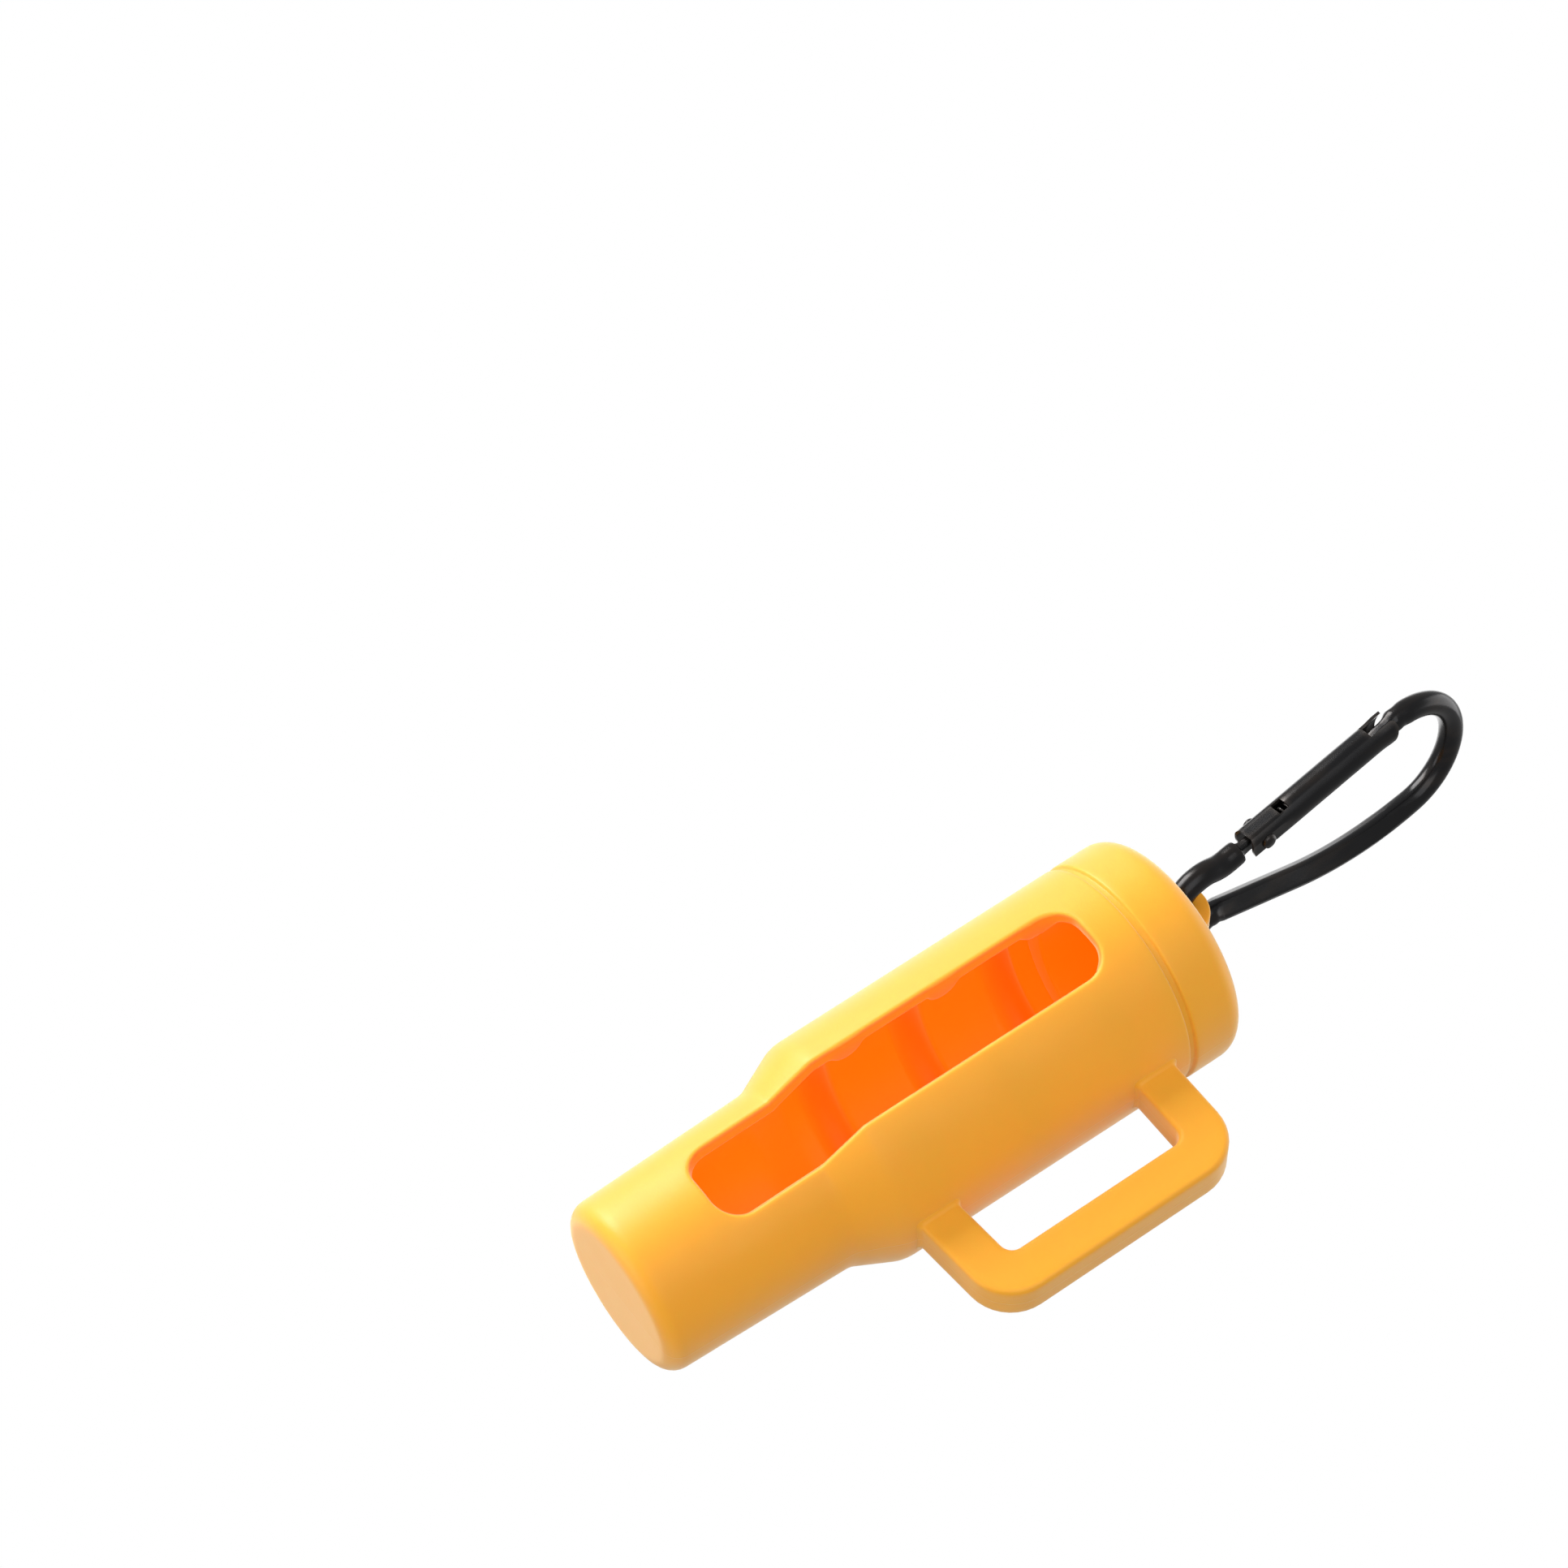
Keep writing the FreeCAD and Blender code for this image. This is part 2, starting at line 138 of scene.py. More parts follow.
# %% Lamps and world
MIDDLE = Vector((0, 0, 0.09))
LAMP_DISTANCE = 0.7
WORLD_LIGHT = 0.43                 # what the world sheds; the camera sees it as plain white
WHITE = (1, 1, 1, 1)


def soft_lamp(name, towards, size, power):
    """Square area lamp that faces the middle of the object."""
    lamp = bpy.data.lights.new(name, "AREA")
    lamp.energy, lamp.size = power, size
    holder = bpy.data.objects.new(name, lamp)
    bpy.context.collection.objects.link(holder)
    away = Vector(towards).normalized()
    holder.location = MIDDLE + away * LAMP_DISTANCE
    holder.rotation_mode = "QUATERNION"
    holder.rotation_quaternion = (-away).to_track_quat("-Z", "Y")
    holder.visible_camera = False


soft_lamp("key", right * -0.62 + up * 0.78 + back * 0.05, 0.45, 7.2)
soft_lamp("fill", right * 0.2 + up * 0.1 + back * 1.0, 0.6, 1.9)
soft_lamp("base", right * -0.9 + up * -0.25 + back * 0.45, 0.4, 1.5)
soft_lamp("top", (0.2, 0.1, 1.0), 0.6, 2.0)
soft_lamp("rear", (-0.7, 1.0, 0.5), 0.8, 2.4)

world = bpy.data.worlds.new("studio")
bpy.context.scene.world = world
world.use_nodes = True
sky = world.node_tree
sky.nodes.clear()
seen = add_node(sky, "Background", {"Color": WHITE, "Strength": 1.0})
shed = add_node(sky, "Background", {"Color": WHITE, "Strength": WORLD_LIGHT})
path = add_node(sky, "LightPath")
choose = add_node(sky, "MixShader", {0: path.outputs["Is Camera Ray"], 1: shed.outputs[0],
                                     2: seen.outputs[0]})
add_node(sky, "OutputWorld", {"Surface": choose.outputs[0]})
bpy.context.scene.view_settings.view_transform = "Standard"

# %% [markdown]
# ## The floor
# The object stands on a pale floor, but the main view looks up from below it. So the floor is
# only there for eyes above it: its back is clear, and it neither shades the object nor bounces
# light at it. Away from the object it fades into the white of the world.

# %% Floor that is only seen from above
FLOOR_HALF, FLOOR_DROP = 12.0, 0.0003      # m; just under the base, so that nothing touches
floor_bm = bmesh.new()
bmesh.ops.create_grid(floor_bm, x_segments=1, y_segments=1, size=FLOOR_HALF)
bmesh.ops.translate(floor_bm, vec=(0, 0, -FLOOR_DROP), verts=floor_bm.verts)
floor_mesh = bpy.data.meshes.new("floor")
floor_bm.to_mesh(floor_mesh)
floor_bm.free()
floor = bpy.data.objects.new("floor", floor_mesh)
bpy.context.collection.objects.link(floor)
paper, tree, matt = new_material("pale floor", {"Base Color": (0.86, 0.86, 0.855, 1),
                                                "Roughness": 0.7})
where = add_node(tree, "TexCoord")
far = add_node(tree, "VectorMath", {0: where.outputs["Object"]}, operation="LENGTH")
white, clear = add_node(tree, "Emission"), add_node(tree, "BsdfTransparent")
faded = add_node(tree, "MixShader", {0: ramp(tree, far.outputs["Value"], 0.1, 0.6),
                                     1: matt.outputs[0], 2: white.outputs[0]})
side = add_node(tree, "NewGeometry")
mix = add_node(tree, "MixShader", {0: side.outputs["Backfacing"], 1: faded.outputs[0],
                                   2: clear.outputs[0]})
feed(tree, tree.nodes["Material Output"], {"Surface": mix.outputs[0]})
floor_mesh.materials.append(paper)
floor.visible_diffuse = floor.visible_glossy = floor.visible_shadow = False
floor.visible_transmission = False
print("floor", floor.name, "faces up:", floor_mesh.polygons[0].normal.z > 0)

# %% [markdown]
# ## Shared surface effects
# Moulded silicone and pressed metal both carry a fine grain and a little unevenness in gloss.
# One node group makes both from the piece's own coordinates: a fine noise lifts the surface and
# a broad noise varies the roughness. Each material gives it its own scale and strength.

# %% Grain group
def grain_group():
    """Fine bump, roughness and tone that vary over a surface."""
    group = bpy.data.node_groups.new("surface grain", "ShaderNodeTree")
    for name, value in (("Grain size", 0.0004), ("Grain height", 0.1), ("Patch size", 0.02),
                        ("Rough low", 0.4), ("Rough high", 0.6)):
        group.interface.new_socket(name=name, in_out="INPUT",
                                   socket_type="NodeSocketFloat").default_value = value
    for name in ("Roughness", "Tone", "Height"):
        group.interface.new_socket(name=name, in_out="OUTPUT", socket_type="NodeSocketFloat")
    given, made = group.nodes.new("NodeGroupInput"), group.nodes.new("NodeGroupOutput")
    where = add_node(group, "TexCoord")
    noises = []
    for size in ("Grain size", "Patch size"):
        count = add_node(group, "Math", {0: 1.0, 1: given.outputs[size]}, operation="DIVIDE")
        noises.append(add_node(group, "TexNoise", {"Vector": where.outputs["Object"],
                                                   "Scale": count.outputs[0], "Detail": 3.0}))
    fine, broad = (noise.outputs["Fac"] for noise in noises)
    height = add_node(group, "Math", {0: fine, 1: given.outputs["Grain height"]},
                      operation="MULTIPLY")
    rough = add_node(group, "MapRange", {
        "Value": broad, "From Min": 0.3, "From Max": 0.7, "To Min": given.outputs["Rough low"],
        "To Max": given.outputs["Rough high"]})
    feed(group, made, {"Roughness": rough.outputs[0], "Tone": broad, "Height": height.outputs[0]})
    return group


GRAIN = grain_group()
print("grain group sockets:", [item.name for item in GRAIN.interface.items_tree])

# %% [markdown]
# ## Amber silicone
# Outside, the silicone is a warm amber with a satin, slightly powdery skin. Light that gets in
# through the window bounces about between walls of the same colour, and that light is painted
# in: the inside gets a painted deep orange. The mesh carries an attribute called inside, 0 on the
# skin, 1 on the inner wall and a little less on the ribs, which is painted shade. The material
# mixes the amber and the painted orange by it, and adds a weak painted glow for the light that a
# render with few bounces loses. The two halves of the mould leave a hair-thin line in the plane
# of the handle.

# %% Silicone material
AMBER = (0.92, 0.41, 0.010, 1)
# Painted bounce light: the deep orange of the inner wall and its glow stand in for light that bounces
# between the walls.
PAINTED_BOUNCE_ORANGE = (1.0, 0.25, 0.0, 1)
PAINTED_INNER_GLOW = 0.34              # light that the inner wall gathers from the walls round it


def place_grain(tree, size, height, patch, low, high):
    """Puts the grain group into a material and returns it with a bump node."""
    grain = add_node(tree, "Group", {"Grain size": size, "Grain height": height,
                                     "Patch size": patch, "Rough low": low, "Rough high": high},
                     node_tree=GRAIN)
    bump = add_node(tree, "Bump", {"Distance": 0.00005, "Height": grain.outputs["Height"]})
    feed(tree, tree.nodes["Principled BSDF"], {"Roughness": grain.outputs["Roughness"],
                                               "Normal": bump.outputs[0]})
    return grain, bump


def blend_colours(tree, factor, first, second):
    """Colour mix of two fixed or linked colours; returns its output."""
    return add_node(tree, "Mix", {0: factor, 6: first, 7: second}, data_type="RGBA").outputs[2]


def parting_line(tree):
    """A mask that is 1 on a hair-thin line in the plane y = 0."""
    where = add_node(tree, "TexCoord")
    split = add_node(tree, "SeparateXYZ", {0: where.outputs["Object"]})
    flat = add_node(tree, "Math", {0: split.outputs["Y"]}, operation="ABSOLUTE")
    return ramp(tree, flat.outputs[0], 0.00016, 0.00004)


def silicone(name, painted_bounce_inside):
    """Satin amber skin; where the mesh has an inner wall, that wall gets painted bounce light: a deep orange
    and a weak painted glow.
    """
    material, tree, skin = new_material(name, {
        "Subsurface Weight": 0.25, "Subsurface Radius": (1.0, 0.4, 0.12),
        "Subsurface Scale": 0.002, "Specular IOR Level": 0.5, "Sheen Weight": 0.6,
        "Sheen Tint": (1.0, 0.93, 0.75, 1), "Sheen Roughness": 0.45})
    grain, bump = place_grain(tree, 0.00035, 0.35, 0.012, 0.46, 0.58)
    warm = tuple(c * k for c, k in zip(AMBER, (0.98, 0.94, 0.85, 1)))
    colour = blend_colours(tree, grain.outputs["Tone"], AMBER, warm)
    if painted_bounce_inside:
        # The inner wall gets painted bounce light: the painted deep orange, and a painted glow that is
        # weaker on the ribs as painted shade.
        inner = add_node(tree, "Attribute", attribute_name="inside").outputs["Fac"]
        colour = blend_colours(tree, ramp(tree, inner, 0, 0.22), colour, PAINTED_BOUNCE_ORANGE)
        feed(tree, skin, {"Emission Strength": ramp(tree, inner, 0.5, 1, PAINTED_INNER_GLOW, "LINEAR"),
                          "Emission Color": PAINTED_BOUNCE_ORANGE})
    seam = add_node(tree, "Math", {0: parting_line(tree), 1: 0.6, 2: grain.outputs["Height"]},
                    operation="MULTIPLY_ADD")
    feed(tree, skin, {"Base Color": colour})
    feed(tree, bump, {"Height": seam.outputs[0]})
    return material


SHELL_SILICONE = silicone("amber silicone, painted bounce light inside", True)
SOLID_SILICONE = silicone("amber silicone", False)
print("silicone:", SHELL_SILICONE.name, "and", SOLID_SILICONE.name)

# %% [markdown]
# ## Black hook metal
# The hook is bent from wire and its gate is rolled from sheet, and both are blackened. The
# coating is smooth and satin, faintly streaked along the wire, and browner where it rubs. A
# stretched noise makes the streaks, and the sharpness of the mesh, which Blender calls
# pointiness, finds the edges that wear.

# %% Black metal and spring steel
BLACK = (0.0095, 0.0095, 0.0105, 1)
BROWN_BLACK = (0.024, 0.019, 0.016, 1)
RUBBED = (0.075, 0.064, 0.056, 1)


def black_metal(name):
    """Blackened coat with brown streaks along the wire and rubbed edges."""
    material, tree, coat = new_material(name, {
        "Metallic": 0.55, "Specular IOR Level": 0.4, "Coat Weight": 0.1, "Coat Roughness": 0.3})
    place_grain(tree, 0.00025, 0.04, 0.006, 0.17, 0.27)
    where = add_node(tree, "TexCoord")
    drawn = add_node(tree, "Mapping", {"Vector": where.outputs["Object"], "Scale": (500, 500, 60)})
    streaks = add_node(tree, "TexNoise", {"Vector": drawn.outputs[0], "Scale": 1.0, "Detail": 2.0})
    streaky = ramp(tree, streaks.outputs["Fac"], 0.45, 0.8, 1.0, "LINEAR")
    shape = add_node(tree, "NewGeometry")
    worn = ramp(tree, shape.outputs["Pointiness"], 0.53, 0.62, 0.6, "LINEAR")
    colour = blend_colours(tree, streaky, BLACK, BROWN_BLACK)
    feed(tree, coat, {"Base Color": blend_colours(tree, worn, colour, RUBBED)})
    return material


def bright_steel(name):
    """Dark spring steel, a little patchy."""
    material, tree, steel = new_material(name, {"Metallic": 1.0})
    grain, _ = place_grain(tree, 0.0001, 0.2, 0.002, 0.22, 0.38)
    feed(tree, steel, {"Base Color": blend_colours(
        tree, grain.outputs["Tone"], (0.09, 0.085, 0.08, 1), (0.14, 0.13, 0.125, 1))})
    return material


HOOK_BLACK = black_metal("blackened metal")
SPRING_STEEL = bright_steel("spring steel")
print("metals:", HOOK_BLACK.name, "and", SPRING_STEEL.name)

# %% [markdown]
# ## Helpers for every piece
# Pieces are drawn in millimetres, which are easy to read. A finished piece is scaled to metres,
# given its finish and its sharp edges, and handed to the body that it moves with.

# %% Finishing a piece
def finish_piece(bm, name, body, nodes, material, place=None, sharp=35, outwards=True):
    """Merges, orients and scales a mesh, then makes it a piece that rides on a body."""
    bmesh.ops.remove_doubles(bm, verts=bm.verts, dist=0.002)
    if outwards:
        bmesh.ops.recalc_face_normals(bm, faces=bm.faces)
    if place is not None:
        bmesh.ops.transform(bm, matrix=place, verts=bm.verts)
    bmesh.ops.scale(bm, vec=(MM, MM, MM), verts=bm.verts)
    for face in bm.faces:
        face.smooth = True
    for edge in bm.edges:
        edge.smooth = len(edge.link_faces) != 2 or edge.calc_face_angle(0) < math.radians(sharp)
    mesh = bpy.data.meshes.new(name)
    bm.to_mesh(mesh)
    open_edges = sum(1 for edge in bm.edges if len(edge.link_faces) != 2)
    print(name, "faces", len(bm.faces), "open edges", open_edges, "volume mm3",
          round(bm.calc_volume(signed=True) * 1e9, 1))
    bm.free()
    piece = bpy.data.objects.new(name, mesh)
    bpy.context.collection.objects.link(piece)
    mesh.materials.append(material)
    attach(piece, body)
    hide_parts(*nodes)
    return piece


def rounded(bm, geom, size, segments, affect="VERTICES", clamp=False):
    """Rounds corners of an outline, or edges of a solid."""
    bmesh.ops.bevel(bm, geom=geom, offset=size, offset_type="OFFSET", segments=segments,
                    profile=0.5, affect=affect, material=-1, clamp_overlap=clamp)


def sharp_edges(bm, angle):
    """Edges whose two faces turn by more than an angle in radians."""
    return [e for e in bm.edges if len(e.link_faces) == 2 and e.calc_face_angle(0) > angle]


def outline(bm, points):
    """Chain of edges through (radius, height) points in the plane y = 0."""
    verts = [bm.verts.new((r, 0, z)) for r, z in points]
    for pair in zip(verts, verts[1:]):
        bm.edges.new(pair)
    return verts


def cut_rows(bm, heights, radii):
    """Adds points to an outline at heights and at radii."""
    for place, axis in ([((0, 0, z), (0, 0, 1)) for z in heights]
                        + [((r, 0, 0), (1, 0, 0)) for r in radii]):
        bmesh.ops.bisect_plane(bm, geom=bm.verts[:] + bm.edges[:], dist=0.01, plane_co=place,
                               plane_no=axis)


def next_ring(bm, edges):
    """Extrudes a ring of edges; returns the new vertices and the new edges."""
    made = bmesh.ops.extrude_edge_only(bm, edges=edges)["geom"]
    verts = {g for g in made if isinstance(g, bmesh.types.BMVert)}
    return verts, [g for g in made if isinstance(g, bmesh.types.BMEdge)
                   and g.verts[0] in verts and g.verts[1] in verts]


def spin_round(bm, steps):
    """Turns everything in the mesh once round the Z axis."""
    bmesh.ops.spin(bm, geom=bm.verts[:] + bm.edges[:], cent=(0, 0, 0), axis=(0, 0, 1),
                   dvec=(0, 0, 0), angle=2 * math.pi, steps=steps, use_merge=True,
                   use_duplicate=False, use_normal_flip=False)
    bmesh.ops.remove_doubles(bm, verts=bm.verts, dist=0.002)


print("helpers ready")

# %% [markdown]
# ## The cup
# The cup is a body of revolution with a window, so its outside is one profile turned round the
# axis. Cutting the window afterwards with a boolean would leave ragged faces that can't be
# rounded well. So the columns of the spin are first shifted to run straight up beside the
# window, a rectangle of faces is removed, and three rings are extruded inwards from its border
# until the last one is the round-cornered window. The wall then gets its thickness.

# %% Sizes of the cup
BASE_R, FOOT_R, FOOT_Z = 14.9, 15.87, 33.9
BARREL_LOW_R, BARREL_LOW_Z, BARREL_R, RIM_Z = 19.66, 41.97, 19.94, 97.0
WALL = 2.0
WINDOW_HALF, WINDOW_LOW, WINDOW_HIGH, WINDOW_CORNER = 6.9, 16.7, 90.4, 4.8
MARGIN = 3.0                       # width of the band of rings round the window
COLUMNS = 120                      # faces round the cup
BASE_EDGE, FOOT_EDGE, SHOULDER_EDGE = 3.0, 0.9, 1.4
FOOT_ROWS, RIM_ROWS = [3.6, 5.6, 7.6, 9.6, 11.6], [94.4, 95.4, 96.2]
STRAIGHT_LOW, STRAIGHT_HIGH = 3.0, 12.0      # below the one, columns spread evenly; above, straight
FRONT_COLUMNS = 9                  # of them, each side of the middle, run straight up
FRONT_HALF = WINDOW_HALF + MARGIN
ROWS = 122                         # rows of faces from the border's foot to its top
ROW = (WINDOW_HIGH - WINDOW_LOW + 2 * MARGIN) / ROWS


def cup_radius(z):
    """Outer radius of the cup at a height, before its corners are rounded."""
    points = [(BASE_R, 0), (FOOT_R, FOOT_Z), (BARREL_LOW_R, BARREL_LOW_Z), (BARREL_R, RIM_Z)]
    for (r0, z0), (r1, z1) in zip(points, points[1:]):
        if z <= z1:
            return r0 + (r1 - r0) * (z - z0) / (z1 - z0)
    return BARREL_R


# %% [markdown]
# ## Spin the outside
# The profile gets its rounded corners first, then extra rows where the window will be, and is
# turned once round the axis.

# %% Spin the outside
cup = bmesh.new()
corners = outline(cup, [(0, 0), (BASE_R, 0), (FOOT_R, FOOT_Z), (BARREL_LOW_R, BARREL_LOW_Z),
                        (BARREL_R, RIM_Z)])
rounded(cup, [corners[1]], BASE_EDGE, 7)
rounded(cup, [corners[2]], FOOT_EDGE, 4)
rounded(cup, [corners[3]], SHOULDER_EDGE, 5)
window_rows = [WINDOW_LOW - MARGIN + ROW * i for i in range(ROWS + 1)]
cut_rows(cup, FOOT_ROWS + window_rows + RIM_ROWS, (4, 8, 11))
bmesh.ops.remove_doubles(cup, verts=cup.verts, dist=0.3)
spin_round(cup, COLUMNS)
print("cup outside:", len(cup.faces), "faces")


# %% [markdown]
# ## Straight columns beside the window
# A window with straight sides needs columns of faces that run straight up, though the cup gets
# wider. The columns in front keep one distance from the middle plane, and the others share what
# is left of the circle.

# %% Shift the columns beside the window
def straight_columns(vert):
    """Slides a vertex round the cup so that the front columns run straight up."""
    radius, turn = math.hypot(vert.co.x, vert.co.y), math.atan2(vert.co.x, -vert.co.y)
    share = min(max((vert.co.z - STRAIGHT_LOW) / (STRAIGHT_HIGH - STRAIGHT_LOW), 0), 1)
    if radius < 1 or share == 0:
        return
    step = 2 * math.pi / COLUMNS
    front = FRONT_COLUMNS * step
    edge = math.asin(FRONT_HALF / radius)
    if abs(turn) < front + 1e-4:
        wanted = math.asin(min(abs(turn) / front, 1) * FRONT_HALF / radius)
    else:
        wanted = edge + (abs(turn) - front) / (math.pi - front) * (math.pi - edge)
    turn = math.copysign(abs(turn) * (1 - share) + wanted * share, turn)
    vert.co.x, vert.co.y = radius * math.sin(turn), -radius * math.cos(turn)


for vert in cup.verts:
    straight_columns(vert)
LOW, HIGH = WINDOW_LOW - MARGIN, WINDOW_HIGH + MARGIN
covered = []
for face in cup.faces:
    middle = face.calc_center_median()
    if middle.y < 0 and abs(middle.x) < FRONT_HALF - 0.1 and LOW < middle.z < HIGH:
        covered.append(face)
bmesh.ops.delete(cup, geom=covered, context="FACES")
print("removed", len(covered), "faces in front")

# %% [markdown]
# ## From a rectangle to a rounded window
# Every point of the rectangular border knows its partner on the window's edge. Three rings lead
# from one to the other, and each point is put back on the cup's round surface.

# %% Rings from the border to the window
border = [e for e in cup.edges if e.is_boundary and e.verts[0].co.z < HIGH + 1]
start = cup.verts.layers.float_vector.new("start")
goal = cup.verts.layers.float_vector.new("goal")


def window_point(x, z):
    """The point of the window's edge that belongs to a point of the rectangular border."""
    middle_z = (WINDOW_LOW + WINDOW_HIGH) / 2
    side_x, side_z = math.copysign(1, x), math.copysign(1, z - middle_z)
    x, z = abs(x), abs(z - middle_z)
    half_z = (WINDOW_HIGH - WINDOW_LOW) / 2
    arc_x, arc_z = WINDOW_HALF - WINDOW_CORNER, half_z - WINDOW_CORNER
    reach = MARGIN + WINDOW_CORNER
    if z > arc_z and x >= z - half_z + WINDOW_HALF - 0.01:
        turn = math.radians(45) * (z - arc_z) / reach
    elif x > arc_x and z > half_z:
        turn = math.radians(90 - 45 * (x - arc_x) / reach)
    elif z > half_z:
        return side_x * x, middle_z + side_z * half_z
    else:
        return side_x * WINDOW_HALF, middle_z + side_z * z
    return (side_x * (arc_x + WINDOW_CORNER * math.cos(turn)),
            middle_z + side_z * (arc_z + WINDOW_CORNER * math.sin(turn)))


for vert in {v for e in border for v in e.verts}:
    x, z = window_point(vert.co.x, vert.co.z)
    vert[start], vert[goal] = vert.co.copy(), (x, 0, z)
for share in (0.37, 0.68, 1.0):
    ring, border = next_ring(cup, border)
    for vert in ring:
        x = vert[start].x + (vert[goal].x - vert[start].x) * share
        z = vert[start].z + (vert[goal].z - vert[start].z) * share
        vert.co = (x, -math.sqrt(cup_radius(z) ** 2 - x ** 2), z)
print("window ring:", len(border), "edges")

# %% [markdown]
# ## Wall and ribs
# The wall gets its thickness inwards. The inner points near a rib are then moved further in, but
# not beside the window, where the ribs run out.

# %% Wall, ribs and rounded window rim
TOP_RIB, RIB_PITCH, RIB_HALF, RIB_H = 85.7, 18.55, 2.6, 2.0
RIBS = [TOP_RIB - RIB_PITCH * i for i in range(3)]
# Painted shade on the ribs: they get this much less of the painted glow than the wall between them.
RIB_SHADE = 0.3                    # the ribs glow this much less than the wall between them


def rib_height(z):
    """How far the inner wall stands in at a height because of the ribs."""
    nearest = min(abs(z - rib) for rib in RIBS) / (RIB_HALF + 0.5)
    return RIB_H * (1 - nearest ** 2) ** 0.75 if nearest < 1 else 0.0


bmesh.ops.recalc_face_normals(cup, faces=cup.faces)
inside = cup.verts.layers.float.new("inside")
skin_verts = set(cup.verts)
bmesh.ops.solidify(cup, geom=cup.faces[:], thickness=WALL)
inner_verts = [v for v in cup.verts if v not in skin_verts]
for vert in inner_verts:
    stand_in = rib_height(vert.co.z)
    # Painted shade: the higher a rib stands, the lower its inside value and the less painted glow it gets.
    vert[inside] = 1.0 - RIB_SHADE * stand_in / RIB_H
    if stand_in == 0:
        continue
    radius = math.hypot(vert.co.x, vert.co.y)
    keep_x = min(max((FRONT_HALF - abs(vert.co.x)) / MARGIN, 0), 1) if vert.co.y < 0 else 0
    x = vert.co.x * (1 - (1 - keep_x) * stand_in / radius)
    y = math.sqrt((radius - stand_in) ** 2 - x ** 2)
    vert.co.x, vert.co.y = x, math.copysign(y, vert.co.y)
print("inner wall vertices:", len(inner_verts))

# %% [markdown]
# ## Rounded rims
# Moulded silicone has no sharp edges. The window's outer rim is the softest; the top rim and the
# inner edges are tighter. Then the attribute is corrected, because the new faces lie between the
# skin and the inner wall.

# %% Round the rims and finish the cup
WINDOW_ROUND, RIM_ROUND, INNER_ROUND = 0.75, 0.45, 0.4
SKIN_DEPTH = 0.7                   # deeper than this the wall counts as inside
CRISP = 0.9                        # radians
outer_edges = [e for e in sharp_edges(cup, CRISP) if e.verts[0][inside] + e.verts[1][inside] == 0]
top_rim = [e for e in outer_edges if e.verts[0].co.z > RIM_Z - 0.1]
window_rim = [e for e in outer_edges if e.verts[0].co.z < RIM_Z - 0.1]
rounded(cup, window_rim, WINDOW_ROUND, 5, "EDGES")
rounded(cup, top_rim, RIM_ROUND, 4, "EDGES")
inner_edges = [e for e in sharp_edges(cup, CRISP) if e.verts[0][inside] + e.verts[1][inside] > 1.3]
rounded(cup, inner_edges, INNER_ROUND, 3, "EDGES")
# Faces deeper than the skin get the painted bounce orange and painted glow; the top rim gets none.
for vert in cup.verts:
    depth = cup_radius(vert.co.z) - math.hypot(vert.co.x, vert.co.y)
    if depth > SKIN_DEPTH and BASE_EDGE < vert.co.z < RIM_Z - SKIN_DEPTH:
        vert[inside] = max(vert[inside], 1.0 - RIB_SHADE)
    if vert.co.z > RIM_Z - 0.6:
        vert[inside] = 0.0
finish_piece(cup, "cup_shell", "holder", ["cup"], SHELL_SILICONE, sharp=60,
             outwards=False)

# %% [markdown]
# ## The handle
# The handle is a nearly square bar bent into a C. Its outer corners are wide and its inner ones
# tight, so the bar is a little fuller at the corners. A rounded square ring is extruded through
# stations, each of which says where a place in the ring goes.

# %% A ring that can be extruded through stations
def remember_places(bm):
    """Gives every vertex its place in the ring to keep; returns the edges and the layer."""
    flat = bm.verts.layers.float_vector.new("flat")
    for vert in bm.verts:
        vert[flat] = vert.co.copy()
    return bm.edges[:], flat


def square_ring(bm, corner, segments):
    """Edges of a rounded square from -1 to 1."""
    made = bmesh.ops.create_grid(bm, x_segments=1, y_segments=1, size=1)
    rounded(bm, made["verts"], corner, segments)
    bmesh.ops.delete(bm, geom=bm.faces[:], context="FACES_ONLY")
    long_sides = [e for e in bm.edges if e.calc_length() > 1]
    bmesh.ops.subdivide_edges(bm, edges=long_sides, cuts=5)
    return remember_places(bm)


def extrude_through(bm, edges, flat, stations, capped=True):
    """Extrudes a ring of edges; a station turns a place in the ring into a point."""
    ends = []
    for number, station in enumerate(stations):
        if number:
            verts, edges = next_ring(bm, edges)
        else:
            verts = {v for e in edges for v in e.verts}
        for vert in verts:
            vert.co = station(vert[flat].x, vert[flat].y)
        if number in (0, len(stations) - 1):
            ends.append(edges)
    if capped:
        for ring in ends:
            bmesh.ops.contextual_create(bm, geom=ring)


# %% [markdown]
# ## Stations of the handle
# A station of the bar is given by a point on the inner edge and one on the outer edge. Where the
# bar meets the barrel, the last rings follow the barrel's curve and widen into a small fillet.

# %% Stations of the handle
OUT_X, BAR, HALF_T = 38.7, 7.3, 3.5
TOP_Z, LOW_ROOT_Z, RISE = 93.4, 43.3, 1.8
OUTER_CORNER, INNER_CORNER, ROOT_FILLET = 8.0, 2.2, 0.7
SLOPE = RISE / (OUT_X - 17.66)


def low_edge(x):
    return LOW_ROOT_Z + SLOPE * (x - 17.66)


def bar_station(inner, outer, grow=0.0):
    """Section of the bar between two points of the plane y = 0."""
    inner, outer = Vector((inner[0], 0, inner[1])), Vector((outer[0], 0, outer[1]))
    middle, half = (inner + outer) / 2, (outer - inner) / 2
    half = half * (1 + grow / half.length)
    return lambda p, q: middle + half * p + Vector((0, (HALF_T + grow) * q, 0))


